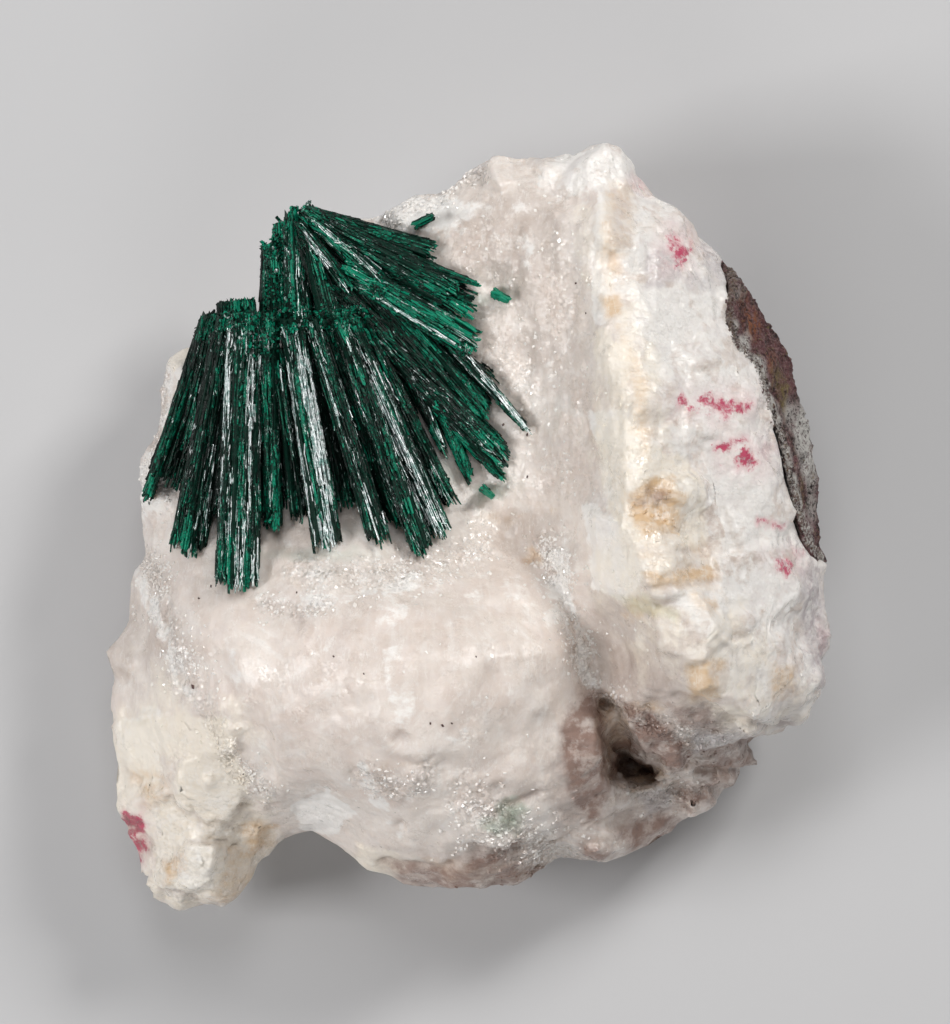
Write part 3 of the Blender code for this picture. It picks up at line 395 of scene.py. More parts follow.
FRONT_BUNDLES = [
    ((236, 300), (240, 350), 36, 40, 24.6, 24.0, 5.0, 6.0, 0.25, 0.05),
    ((210, 313), (147, 498), 14, 9, 21.0, 20.0, 4.0, 4.0, 0.35, 0.08),
    ((217, 313), (184, 453), 24, 30, 22.6, 19.4, 5.0, 3.0, 0.20, 0.15),
    ((230, 316), (188, 552), 24, 36, 25.0, 23.5, 6.0, 3.8, 0.22, 0.25),
    ((246, 314), (238, 588), 34, 43, 27.2, 28.0, 6.5, 4.0, 0.36, 0.62),
    ((268, 315), (275, 529), 20, 15, 27.4, 26.2, 6.0, 3.6, 0.40, 0.15),
    ((279, 348), (300, 519), 13, 16, 27.0, 27.0, 5.0, 3.4, 0.20, 0.50),
    ((291, 315), (329, 547), 22, 29, 28.6, 29.4, 6.5, 3.8, 0.42, 0.92),
    ((312, 317), (381, 542), 17, 22, 28.2, 29.9, 6.0, 3.6, 0.30, 0.45),
    ((326, 317), (402, 524), 18, 22, 27.2, 28.2, 6.0, 3.2, 0.18, 0.12),
    ((338, 315), (424, 552), 18, 21, 28.2, 30.5, 6.0, 3.6, 0.35, 0.25),
    ((349, 317), (443, 536), 17, 21, 27.8, 28.8, 6.0, 3.6, 0.40, 0.55),
    ((363, 325), (452, 504), 15, 14, 26.8, 27.2, 5.0, 3.2, 0.25, 0.40),
    ((385, 322), (446, 454), 16, 7, 26.0, 26.2, 3.4, 2.6, 0.25, 0.45),
]
# Near black needles that fill the gaps between bundles: their low brightness is painted shade
FILL_BUNDLES = [
    ((300, 222), (468, 318), 12, 62, 23.3, 26.5, 3.0, 2.6, 0.22, 0.08),
    ((306, 226), (480, 410), 14, 80, 24.5, 26.1, 3.6, 3.0, 0.08, 0.08),
    ((302, 232), (402, 424), 16, 96, 24.7, 25.0, 3.6, 3.6, -0.02, 0.10),
    ((222, 314), (172, 484), 26, 54, 21.1, 19.5, 4.0, 3.0, -0.02, 0.08),
    ((256, 316), (250, 520), 40, 82, 25.3, 23.8, 5.0, 3.4, -0.04, 0.10),
    ((306, 318), (340, 506), 48, 88, 26.3, 26.7, 5.0, 3.4, -0.06, 0.12),
    ((352, 320), (420, 500), 40, 60, 25.9, 26.7, 4.5, 3.0, -0.04, 0.12),
]
STRAY_BUNDLES = [
    ((492, 293), (508, 301), 7, 6, 29.2, 28.7, 3.0, 3.0, 0.60, 0.10),
    ((434, 217), (414, 226), 5, 6, 27.2, 24.1, 3.2, 3.2, 0.35, 0.05),
    ((481, 487), (492, 496), 6, 4, 28.4, 26.4, 3.2, 3.2, 0.60, 0.05),
]

# Where the fibres are broken across and stand as bright green grains: middle, reach to
# the sides and up and down in picture points, and number of grains
HACKLY_ZONES = [
    ((262, 336), 22, 24, 260), ((240, 322), 20, 10, 160), ((276, 250), 12, 12, 120),
    ((280, 300), 16, 30, 220), ((292, 320), 14, 14, 150), ((326, 318), 24, 13, 260),
    ((355, 320), 16, 13, 150), ((380, 288), 8, 14, 80), ((281, 232), 6, 12, 50),
    ((300, 208), 10, 5, 50), ((463, 348), 8, 10, 50), ((180, 440), 7, 9, 40),
]


def px(x, y):
    """Turn a picture point into millimetres on the specimen."""
    return (x - MIDDLE_PX[0]) * MM_PER_PX, (MIDDLE_PX[1] - y) * MM_PER_PX


def px_all(points):
    """Turn a list of picture points into an array of places in millimetres."""
    return np.array([px(point[0], point[1]) for point in points])


def settings():
    """The sizes that the user can change."""
    return bpy.context.scene.specimen_sizes


def colors():
    """The colours that the user can change."""
    return bpy.context.scene.specimen_colors


# Number fields over the specimen
def scatter_value(cell, seed):
    """A fixed random value from -1 to 1 for every whole-number cell."""
    key = cell[..., 0] * 73856093 ^ cell[..., 1] * 19349663 ^ cell[..., 2] * 83492791
    key = (key ^ seed * 374761393) & 0xFFFFFFFF
    key = ((key ^ key >> 13) * 1274126177) & 0xFFFFFFFF
    key = ((key ^ key >> 16) * 668265263) & 0xFFFFFFFF
    return (key ^ key >> 15).astype(float) / 2147483648.0 - 1.0


def swell(points, size, seed):
    """Smooth random heights from -1 to 1 that rise and fall over a given size."""
    scaled = points / size
    cell = np.floor(scaled).astype(np.int64)
    part = scaled - cell
    ease = part * part * (3 - 2 * part)
    total = np.zeros(len(points))
    for corner in range(8):
        offset = np.array([corner & 1, corner >> 1 & 1, corner >> 2 & 1])
        weight = np.where(offset == 1, ease, 1 - ease).prod(axis=1)
        total += weight * scatter_value(cell + offset, seed)
    return total


def clouds(points, size, seed, octaves):
    """Swells of halving size and height, added up."""
    total = np.zeros(len(points))
    for octave in range(octaves):
        total += swell(points, size / 2 ** octave, seed + 17 * octave) / 2 ** octave
    return total


def facets(points, size, seed, stretch):
    """Heights of flat tilted faces, one for each random cell, and a random tone for each."""
    scaled = points / (size * np.array(stretch))
    cell = np.floor(scaled).astype(np.int64)
    best = np.full(len(points), 1e9)
    height = np.zeros(len(points))
    tone = np.zeros(len(points))
    for x in (-1, 0, 1):
        for y in (-1, 0, 1):
            for z in (-1, 0, 1):
                near = cell + np.array([x, y, z])
                jitter = np.stack([scatter_value(near, seed + turn) for turn in range(3)], axis=1)
                offset = scaled - near - 0.5 - 0.45 * jitter
                distance = (offset ** 2).sum(axis=1)
                tilt = np.stack([scatter_value(near, seed + 5 + turn) for turn in range(3)],
                                axis=1)
                closer = distance < best
                best = np.where(closer, distance, best)
                height = np.where(closer, (offset * tilt).sum(axis=1), height)
                tone = np.where(closer, scatter_value(near, seed + 9), tone)
    return height, tone


def bent(points, size, amount, seed):
    """Points shifted by smooth random amounts, so that what is cut from them is uneven."""
    shift = np.stack([clouds(points, size, seed + axis, 2) for axis in range(3)], axis=1)
    return points + amount * shift


def flatten_faces(points, normals, outlines):
    """Move points up or down so that chosen outlines become flat cleavage faces."""
    edge_width, most, share_moved, kept_slope = 0.65, 1.3, 0.92, 0.8
    flat = points.copy()
    flat[:, :2] += 0.16 * np.stack([clouds(points, 1.4, 311, 3), clouds(points, 1.4, 317, 3)],
                                   axis=1)
    result = points.copy()
    upward = np.clip(normals[:, 2] / 0.3, 0, 1)
    for outline, height, lean_x, lean_y in outlines:
        polygon = px_all(outline)
        middle = polygon.mean(axis=0)
        depth = depth_inside(flat, polygon)
        share = np.clip(0.5 + depth / edge_width, 0, 1) * upward
        near = (depth > 0) & (normals[:, 2] > 0.3)
        base = np.column_stack([points[near, :2] - middle, np.ones(near.sum())])
        slope_x, slope_y, level = np.linalg.lstsq(base, points[near, 2], rcond=None)[0]
        slope = np.array([kept_slope * slope_x + lean_x, kept_slope * slope_y + lean_y])
        target = level + height + (points[:, :2] - middle) @ slope
        result[:, 2] += share_moved * share * np.clip(target - result[:, 2], -most, most)
    return result


def closed(polygon):
    """An outline as a line that comes back to its start."""
    return np.vstack([polygon, polygon[:1]])


def depth_inside(points, polygon):
    """How far points lie inside an outline in millimetres, below 0 for those outside."""
    distance, _ = line_distance(points, closed(polygon))
    return np.where(inside_outline(points, polygon), distance, -distance)


def inside_outline(points, polygon):
    """Which points lie inside an outline, seen from above."""
    inside = np.zeros(len(points), dtype=bool)
    for (x0, y0), (x1, y1) in zip(polygon, np.roll(polygon, -1, axis=0)):
        crosses = (y0 > points[:, 1]) != (y1 > points[:, 1])
        rise = y1 - y0 if abs(y1 - y0) > 1e-9 else 1e-9
        inside ^= crosses & (points[:, 0] < (x1 - x0) * (points[:, 1] - y0) / rise + x0)
    return inside


def terraces(points, facing, period, warp, seed):
    """Small steps that follow one cleavage direction."""
    along = points @ np.array(facing) / period + warp * clouds(points, 6.0, seed, 2)
    share = along - np.floor(along)
    return np.clip(share * 3.2, 0, 1) - share - 0.35


def patches(points, spots, ragged, seed):
    """How far each point lies inside a set of patches with ragged edges, from 0 to 1."""
    shift = ragged * np.stack([clouds(points, 1.6, seed, 3), clouds(points, 1.6, seed + 3, 3)],
                              axis=1)
    flat = points[:, :2] + shift
    result = np.zeros(len(points))
    for x, y, half_width, half_height, strength in spots:
        centre = np.array(px(x, y))
        reach = np.array([half_width, half_height]) * MM_PER_PX
        away = np.sqrt((((flat - centre) / reach) ** 2).sum(axis=1))
        result = np.maximum(result, strength * np.clip(1.45 - away, 0, 1))
    return result


def line_distance(points, line):
    """Distance from points to a line, and which side of it they lie on."""
    starts, ends = line[:-1], line[1:]
    along = ends - starts
    offset = points[:, None, :2] - starts[None]
    share = np.clip((offset * along).sum(axis=2) / (along ** 2).sum(axis=1), 0, 1)
    away = offset - share[:, :, None] * along[None]
    distance = np.sqrt((away ** 2).sum(axis=2))
    nearest = distance.argmin(axis=1)
    row = np.arange(len(points))
    chosen = offset[row, nearest]
    side = along[nearest, 0] * chosen[:, 1] - along[nearest, 1] * chosen[:, 0]
    return distance[row, nearest], np.sign(side)


def right_of_crest(points, fade):
    """How far points lie on the rock's side of the ridge, 0 to 1."""
    distance, side = line_distance(points, px_all(CREST_PX))
    return np.clip(0.5 + distance * side / fade, 0, 1)


# Meshes
def link(item):
    """Put a new piece into the scene."""
    bpy.context.scene.collection.objects.link(item)
    return item


def mesh_from_arrays(name, points, faces):
    """A mesh from points in millimetres and faces that all have the same corner count."""
    corners = faces.shape[1]
    mesh = bpy.data.meshes.new(name)
    mesh.vertices.add(len(points))
    mesh.vertices.foreach_set("co", (points * MM).astype(np.float32).ravel())
    mesh.loops.add(faces.size)
    mesh.loops.foreach_set("vertex_index", faces.astype(np.int32).ravel())
    mesh.polygons.add(len(faces))
    mesh.polygons.foreach_set("loop_start", np.arange(0, faces.size, corners, dtype=np.int32))
    mesh.update(calc_edges=True)
    mesh.validate()
    return mesh


def store(mesh, name, values):
    """Keep one number for each point of a mesh, for its material to read."""
    layer = mesh.attributes.new(name, "FLOAT", "POINT")
    layer.data.foreach_set("value", values.astype(np.float32))


def mesh_points(mesh):
    """The places of a mesh's points as an array."""
    points = np.empty(len(mesh.vertices) * 3, dtype=np.float32)
    mesh.vertices.foreach_get("co", points)
    return points.reshape(-1, 3).astype(float)


def mesh_normals(mesh):
    """The facings of a mesh's points as an array."""
    normals = np.empty(len(mesh.vertices) * 3, dtype=np.float32)
    mesh.vertex_normals.foreach_get("vector", normals)
    return normals.reshape(-1, 3).astype(float)


def set_points(mesh, points):
    """Move all points of a mesh to new places."""
    mesh.vertices.foreach_set("co", points.astype(np.float32).ravel())
    mesh.update()


def apply_modifiers(item):
    """Make a piece's modifiers part of its mesh."""
    graph = bpy.context.evaluated_depsgraph_get()
    shape = bpy.data.meshes.new_from_object(item.evaluated_get(graph))
    item.modifiers.clear()
    old = item.data
    item.data = shape
    bpy.data.meshes.remove(old)


def dense_copy(name, node, cell, smoothing):
    """A fine even copy of a solid, in millimetres, with its facets smoothed."""
    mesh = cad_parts[node].data.copy()
    mesh.materials.clear()
    set_points(mesh, mesh_points(mesh) / MM)
    item = link(bpy.data.objects.new(name, mesh))
    remesh = item.modifiers.new("even", "REMESH")
    remesh.mode = "VOXEL"
    remesh.voxel_size = cell
    soften = item.modifiers.new("soften", "SMOOTH")
    soften.factor = 0.5
    soften.iterations = smoothing
    apply_modifiers(item)
    return item


def thin_out(item, most):
    """Take faces away on the base and the steep sides until a count is met."""
    facing = mesh_normals(item.data)[:, 2]
    level = mesh_points(item.data)[:, 2]
    amount = np.where(level < 4.0, 1.0, np.clip(1.0 - 1.8 * facing, 0.0, 1.0))
    group = item.vertex_groups.new(name="steep")
    for share in np.linspace(0.1, 1.0, 10):
        chosen = np.nonzero(np.abs(amount - share) < 0.05)[0]
        group.add([int(index) for index in chosen], share, "REPLACE")
    thin = item.modifiers.new("thin", "DECIMATE")
    thin.ratio = min(1.0, most / triangle_count(item.data))
    thin.vertex_group = "steep"
    apply_modifiers(item)
    item.vertex_groups.clear()


def to_metres(item):
    """Turn a piece that was shaped in millimetres into metres."""
    set_points(item.data, mesh_points(item.data) * MM)


def triangle_count(mesh):
    """How many triangles a mesh has when its faces are cut up."""
    return sum(len(face.vertices) - 2 for face in mesh.polygons)


def surface_tree(item):
    """A search tree of a piece's surface, in metres."""
    return BVHTree.FromObject(item, bpy.context.evaluated_depsgraph_get())


def look_down(tree, x, y):
    """Where a line straight down meets a surface, and the facing there."""
    return tree.ray_cast(Vector((x * MM, y * MM, ABOVE)), DOWN)[:2]


def levels_below(trees, x, y):
    """The levels in millimetres at which a line straight down meets each surface."""
    hits = [look_down(tree, x, y)[0] for tree in trees]
    return [hit.z / MM for hit in hits if hit is not None]


def drop_on(tree, flat):
    """Find where points above the specimen meet its surface, and the facing there."""
    spots, facings = [], []
    for x, y in flat:
        hit, normal = look_down(tree, x, y)
        if hit is None:
            continue
        spots.append(hit / MM)
        facings.append(normal)
    return np.array(spots), np.array(facings)


def unit(vectors):
    """The same directions with a length of 1."""
    return vectors / np.maximum(np.linalg.norm(vectors, axis=1), 1e-9)[:, None]


def rhombs(centres, facings, lengths, widths, heights, turns, lean):
    """Small skewed blocks, the cleavage shape of calcite, one at each centre."""
    count = len(centres)
    pole = np.tile(np.array([0.31, 0.93, 0.17]), (count, 1))
    first = unit(np.cross(facings, pole))
    second = np.cross(facings, first)
    cosine, sine = np.cos(turns)[:, None], np.sin(turns)[:, None]
    first, second = first * cosine + second * sine, second * cosine - first * sine
    points = np.empty((count, 8, 3))
    for corner in range(8):
        a = (corner & 1) - 0.5
        b = (corner >> 1 & 1) - 0.5
        c = (corner >> 2 & 1) - 0.5
        reach = first * (a * lengths + lean * b * widths)[:, None]
        reach = reach + second * (b * widths + lean * c * heights)[:, None]
        points[:, corner] = centres + reach + facings * (c * heights)[:, None]
    sides = np.array([(0, 2, 3, 1), (4, 5, 7, 6), (0, 1, 5, 4), (1, 3, 7, 5), (3, 2, 6, 7),
                      (2, 0, 4, 6)])
    faces = (np.arange(count)[:, None, None] * 8 + sides[None]).reshape(-1, 4)
    return points.reshape(-1, 3), faces


# Shader building
class Value:
    """A shader value that can be used in ordinary arithmetic."""

    def __init__(self, sheet, socket):
        self.sheet = sheet
        self.socket = socket

    def math(self, operation, *others):
        """Add a Math node with this value as its first input."""
        inputs = dict(enumerate((self,) + others))
        return self.sheet.add("ShaderNodeMath", {"operation": operation}, inputs)

    def __add__(self, other):
        return self.math("ADD", other)

    def __sub__(self, other):
        return self.math("SUBTRACT", other)

    def __mul__(self, other):
        return self.math("MULTIPLY", other)

    def __rsub__(self, other):
        return (self * -1.0) + other

    __radd__ = __add__
    __rmul__ = __mul__

    def clamp(self):
        """Keep the value between 0 and 1."""
        return self.sheet.add("ShaderNodeClamp", {}, {"Value": self})

    def step(self, low, high):
        """Rise smoothly from 0 at low to 1 at high."""
        inputs = {"Value": self, "From Min": low, "From Max": high}
        kind = {"interpolation_type": "SMOOTHSTEP"}
        return self.sheet.add("ShaderNodeMapRange", kind, inputs)


class Sheet:
    """The nodes of one material."""

    def __init__(self, name):
        self.material = bpy.data.materials.new(name)
        self.material.use_nodes = True
        self.tree = self.material.node_tree
        self.shader = self.tree.nodes["Principled BSDF"]

    def connect(self, socket, value):
        """Link a value to a socket, or set the socket to a number."""
        if isinstance(value, Value):
            self.tree.links.new(value.socket, socket)
        elif value is not None:
            socket.default_value = value

    def add(self, kind, options, inputs, output=0):
        """Add a node of a type, with its settings first and then its socket values."""
        node = self.tree.nodes.new(kind)
        for key, option in options.items():
            setattr(node, key, option)
        for key, value in inputs.items():
            self.connect(node.inputs[key], value)
        return Value(self, node.outputs[output])

    def attribute(self, name):
        """A number that is stored on the mesh's points."""
        return self.add("ShaderNodeAttribute", {"attribute_name": name}, {}, "Fac")

    def place(self):
        """Where the shaded point lies on the piece."""
        return self.add("ShaderNodeTexCoord", {}, {}, "Object")

    def stretched(self, stretch):
        """The place with each axis scaled, which stretches a noise."""
        return self.vector("MULTIPLY", self.place(), stretch)

    def noise(self, size, detail, rough, where=None):
        """Soft noise whose features have a size in metres."""
        inputs = {"Vector": where or self.place(), "Scale": 1.0 / size, "Detail": detail,
                  "Roughness": rough}
        return self.add("ShaderNodeTexNoise", {}, inputs, "Fac")

    def vector(self, operation, first, second):
        return self.add("ShaderNodeVectorMath", {"operation": operation}, {0: first, 1: second})

    def dot(self, first, second):
        inputs = {0: first, 1: second}
        return self.add("ShaderNodeVectorMath", {"operation": "DOT_PRODUCT"}, inputs, "Value")

    def strokes(self, angle, size, ratio):
        """Soft streaks that run at an angle over the display side."""
        place = self.place()
        along = self.dot(place, (math.cos(angle), math.sin(angle), 0.4))
        across = self.dot(place, (-math.sin(angle), math.cos(angle), 0.7))
        return self.noise(size, 5.0, 0.62, self.join(along * ratio, across))

    def join(self, first, second):
        """Two numbers as one flat place for a noise."""
        return self.add("ShaderNodeCombineXYZ", {}, {0: first, 1: second})

    def blend(self, share, first, second):
        """Mix two colours by a share from 0 to 1."""
        inputs = {0: share, 6: self.color(first), 7: self.color(second)}
        return self.add("ShaderNodeMix", {"data_type": "RGBA"}, inputs, 2)

    def layers(self, base, *coats):
        """Lay colours over a first one, each by its own share from 0 to 1."""
        for share, color in coats:
            base = self.blend(share, base, color)
        return base

    def ragged(self, name, noise, amount, low, high):
        """A stored patch whose edge is broken up by noise."""
        return (self.attribute(name) + amount * (noise - 0.5)).step(low, high)

    def ridge(self, noise, steep):
        """Thin lines where a noise crosses its middle value."""
        return (1 - steep * (noise - 0.5).math("ABSOLUTE")).clamp()

    def color(self, value):
        """A colour from a property, or a value as it is."""
        return value if isinstance(value, Value) else (*tuple(value)[:3], 1.0)

    def bump(self, height, distance, strength):
        """Tilt the surface by a height in metres."""
        inputs = {"Height": height, "Distance": distance, "Strength": strength}
        return self.add("ShaderNodeBump", {}, inputs)

    def surface(self, sockets):
        """Set the shader's sockets and give the finished material."""
        for key, value in sockets.items():
            self.connect(self.shader.inputs[key], value)
        return self.material

    def two_surfaces(self, share, first, second):
        """Mix two kinds of surface by a share from 0 to 1."""
        self.surface(first)
        other = self.add("ShaderNodeBsdfPrincipled", {}, second, "BSDF")
        both = self.add("ShaderNodeMixShader", {}, {0: share, 2: other}, "Shader")
        self.tree.links.new(self.shader.outputs["BSDF"], both.socket.node.inputs[1])
        self.tree.links.new(both.socket, self.tree.nodes["Material Output"].inputs["Surface"])
        return self.material


def facet_height(sheet, size, where):
    """Heights of tiny flat faces, each tilted its own way."""
    nearest = {"feature": "F1"}
    inputs = {"Vector": where, "Scale": 1.0 / size}
    middle = sheet.add("ShaderNodeTexVoronoi", nearest, inputs, "Position")
    tilt = sheet.add("ShaderNodeTexVoronoi", nearest, inputs, "Color")
    offset = sheet.vector("SUBTRACT", where, middle)
    lean = sheet.vector("SUBTRACT", tilt, (0.5, 0.5, 0.5))
    return sheet.dot(offset, lean)


def calcite_colors(sheet, tone, noise):
    """The calcite's colours, from the milky body up to the stains, with painted sheen, painted
    glints and painted shade, and some of their masks.
    """
    cloud, mottle, edges, veil, streak, crumbs = (
        noise[key] for key in ("cloud", "mottle", "edges", "veil", "streak", "crumbs"))
    broken, cell = sheet.attribute("broken"), sheet.attribute("cell")
    smooth = 1 - broken
    tufts = sheet.strokes(1.05, 0.0015, 0.28)
    tufts = tufts + cloud.step(0.46, 0.54) * (sheet.strokes(2.15, 0.0014, 0.26) - tufts)
    fleck = sheet.noise(0.0010, 6.0, 0.70)
    shade = sheet.ragged("shade", edges, 1.1, 0.15, 0.85)
    patch = (streak - 0.5) + (edges - 0.5) + 0.22 * cell
    white = (sheet.attribute("white") + patch).step(0.26, 0.58)
    lilac = sheet.ragged("lilac", edges, 1.2, 0.25, 0.85)
    cream = (sheet.attribute("cream") + 1.2 * (mottle - 0.5) + 0.15 * cell).step(0.25, 0.80)
    amber = sheet.ragged("amber", edges, 1.2, 0.15, 0.95)
    milk = (cell + 0.6 * (edges - 0.5)).step(0.36, 0.60)
    threads = calcite_threads(sheet, noise, broken, cream)
    gloss_and_sheen = sheet.attribute("gloss_and_sheen") * edges.step(0.42, 0.62)
    blush = (sheet.attribute("pink") * 1.3 * edges.step(0.30, 0.60)).clamp()
    pink = (0.74 * sheet.attribute("pink") + 2.6 * (crumbs - 0.5)).step(0.46, 0.92)
    stain = sheet.blend(crumbs.step(0.50, 0.40), tone.magenta, tone.magenta_dark)
    olive = sheet.ragged("olive", edges, 1.2, 0.25, 1.0)
    green = (sheet.attribute("green") * (0.3 + crumbs)).clamp()
    crust = sheet.attribute("crust") * (crumbs + 0.5 * edges).step(0.70, 0.84)
    # Painted shade in the hollow, folds, cracks, pits and along the lower edge, made patchy by
    # noise
    dark = sheet.attribute("dark") * (0.9 * edges.step(0.32, 0.62) + 0.8 * mottle)
    base = sheet.layers(
        sheet.blend(cloud.step(0.38, 0.62), tone.calcite_pink, tone.calcite_pale),
        (mottle.step(0.44, 0.26) * 0.12, tone.clear_calcite_and_shade),
        (mottle.step(0.55, 0.75) * 0.10, tone.calcite_white),
        (tufts.step(0.52, 0.68) * 0.38 * smooth, tone.calcite_white),
        (tufts.step(0.47, 0.33) * 0.20 * smooth, tone.calcite_lilac),
        ((0.2 - cell).step(0.0, 0.7) * (0.10 + 0.35 * broken), tone.clear_calcite_and_shade),
        # Painted shade in the valley and along the lower edges, partly clearer calcite
        (shade * 0.70, tone.clear_calcite_and_shade),
        (white * 0.9, tone.calcite_white),
        ((veil.step(0.50, 0.38) * (0.16 + 0.48 * broken)).clamp(), tone.calcite_lilac),
        (fleck.step(0.52, 0.62) * (0.06 + 0.26 * broken), tone.calcite_white),
        (fleck.step(0.46, 0.36) * (0.05 + 0.18 * broken), tone.clear_calcite_and_shade),
        (lilac * 0.85, tone.calcite_grey),
        (cream * 0.85, tone.calcite_cream),
        (amber * 0.95, tone.amber),
        (milk * (0.08 + 0.30 * broken), tone.calcite_white),
        (threads, tone.calcite_white),
        # Painted sheen: shiny faces are whitened
        (gloss_and_sheen * 0.6, tone.calcite_white),
        (blush * 0.6, tone.calcite_blush),
        (pink * 0.95, stain),
        (olive * 0.4, tone.olive_tinge),
        (green, tone.green_stain),
        (crust * 0.7, tone.calcite_crust),
        (dark.clamp() * 0.92, tone.painted_shade_brown))
    # Where shade is painted, less light soaks in, so that it stays dark
    opaque = 0.10 + 0.40 * cream + 0.32 * white + 0.08 * broken + 0.7 * dark
    return base, opaque.clamp(), gloss_and_sheen, broken


def calcite_threads(sheet, noise, broken, cream):
    """Thin white veins, feathers, scratches and tiny white specks that are painted glints, as one
    share.
    """
    wisp = sheet.noise(0.0034, 4.0, 0.55, sheet.stretched((1.7, 0.5, 1.0)))
    scratch = sheet.noise(0.0011, 3.0, 0.6, sheet.stretched((1.7, 0.42, 1.0)))
    veins = sheet.ridge(wisp, 8) * (1 - broken)
    feathers = sheet.ridge(noise["feather"], 10) * broken
    scratches = sheet.ridge(scratch, 20) * noise["edges"].step(0.48, 0.60)
    # Painted glints: sparse tiny white specks, fewer on the cream calcite
    glint_specks = noise["crumbs"].step(0.58, 0.66) * (0.34 - 0.2 * cream)
    return (veins * 0.16 + feathers * 0.45 + scratches * 0.30 + glint_specks).clamp()


def calcite_material(name, roughness, grain, milky):
    """Pinkish, white, cream and amber calcite, which lets light soak in where it is milky."""
    sheet = Sheet(name)
    noise = {
        "cloud": sheet.noise(0.0075, 4.0, 0.55),
        "mottle": sheet.noise(0.0036, 5.0, 0.60, sheet.stretched((1.5, 0.7, 1.0))),
        "edges": sheet.noise(0.0022, 6.0, 0.68),
        "feather": sheet.noise(0.0013, 5.0, 0.62, sheet.stretched((0.38, 1.2, 0.8))),
        "crumbs": sheet.noise(0.0008, 8.0, 0.78),
        "veil": sheet.noise(0.0030, 8.0, 0.70, sheet.stretched((0.8, 1.3, 1.0))),
        "streak": sheet.noise(0.0026, 7.0, 0.70, sheet.stretched((0.6, 1.35, 1.0))),
    }
    base, opaque, gloss_and_sheen, broken = calcite_colors(sheet, colors(), noise)
    place, veil, druse = sheet.place(), noise["veil"], sheet.attribute("druse")
    sugary = veil.step(0.48, 0.60)
    small = facet_height(sheet, 0.00032, place)
    large = facet_height(sheet, 0.00085, place)
    fine = sheet.noise(0.00018, 2.0, 0.6)
    stairs = (sheet.dot(place, (300.0, 1500.0, 500.0)) + 5.0 * (veil - 0.5)).math("FRACT")
    lift = small * (0.06 + 0.22 * sugary + 0.14 * broken + 1.1 * druse + 0.3 * gloss_and_sheen)
    lift = lift + large * (0.04 + 0.21 * broken) + fine * 0.00002
    lift = lift + stairs * broken * noise["feather"].step(0.45, 0.60) * 0.00005
    rough = roughness + 0.30 * (noise["mottle"] - 0.5) - 0.14 * druse - 0.2 * gloss_and_sheen
    rough = rough - 0.12 * sugary - 0.08 * broken
    sockets = {"Base Color": base, "Roughness": rough.clamp(),
               "Normal": sheet.bump(lift, 1.0, grain), "IOR": 1.58}
    if not milky:
        return sheet.surface(sockets)
    sheet.shader.subsurface_method = "BURLEY"
    soaked = {"Subsurface Weight": 0.5, "Subsurface Radius": (0.0016, 0.0013, 0.0010),
              "Subsurface Scale": 1.0}
    return sheet.two_surfaces(opaque, {**sockets, **soaked}, sockets)


def rock_material():
    """Dark brown host rock with maroon, rust, olive and pale grey patches."""
    tone = colors()
    sheet = Sheet("host_rock_surface")
    grains = sheet.noise(0.0007, 5.0, 0.72, sheet.stretched((1.3, 0.7, 1.0)))
    lumps = sheet.noise(0.0030, 4.0, 0.6)
    specks = sheet.noise(0.00030, 4.0, 0.75)
    flecks = sheet.noise(0.0004, 2.0, 0.6)
    rust = sheet.attribute("rust") * grains.step(0.42, 0.58) * 1.3
    olive = sheet.attribute("olive") * grains.step(0.40, 0.60)
    pale = sheet.attribute("pale") * (0.5 * grains + 0.5 * specks).step(0.40, 0.52) * 1.2
    base = sheet.layers(
        sheet.blend(grains.step(0.40, 0.60), tone.rock_dark, tone.rock_brown),
        (lumps.step(0.44, 0.58) * 0.75, tone.rock_maroon),
        (specks.step(0.52, 0.60) * 0.65, tone.rock_fleck),
        (specks.step(0.46, 0.38) * 0.70, tone.rock_dark),
        (flecks.step(0.60, 0.68) * 0.6, tone.rock_olive),
        (rust.clamp(), tone.rock_rust),
        (olive.clamp(), tone.rock_olive),
        (pale.clamp(), tone.rock_pale))
    lift = grains + 0.5 * lumps + 0.5 * specks
    return sheet.surface({
        "Base Color": base, "Roughness": (0.85 - 0.4 * flecks.step(0.5, 0.7)).clamp(),
        "Normal": sheet.bump(lift, 0.0007, 0.9), "IOR": 1.5,
    })


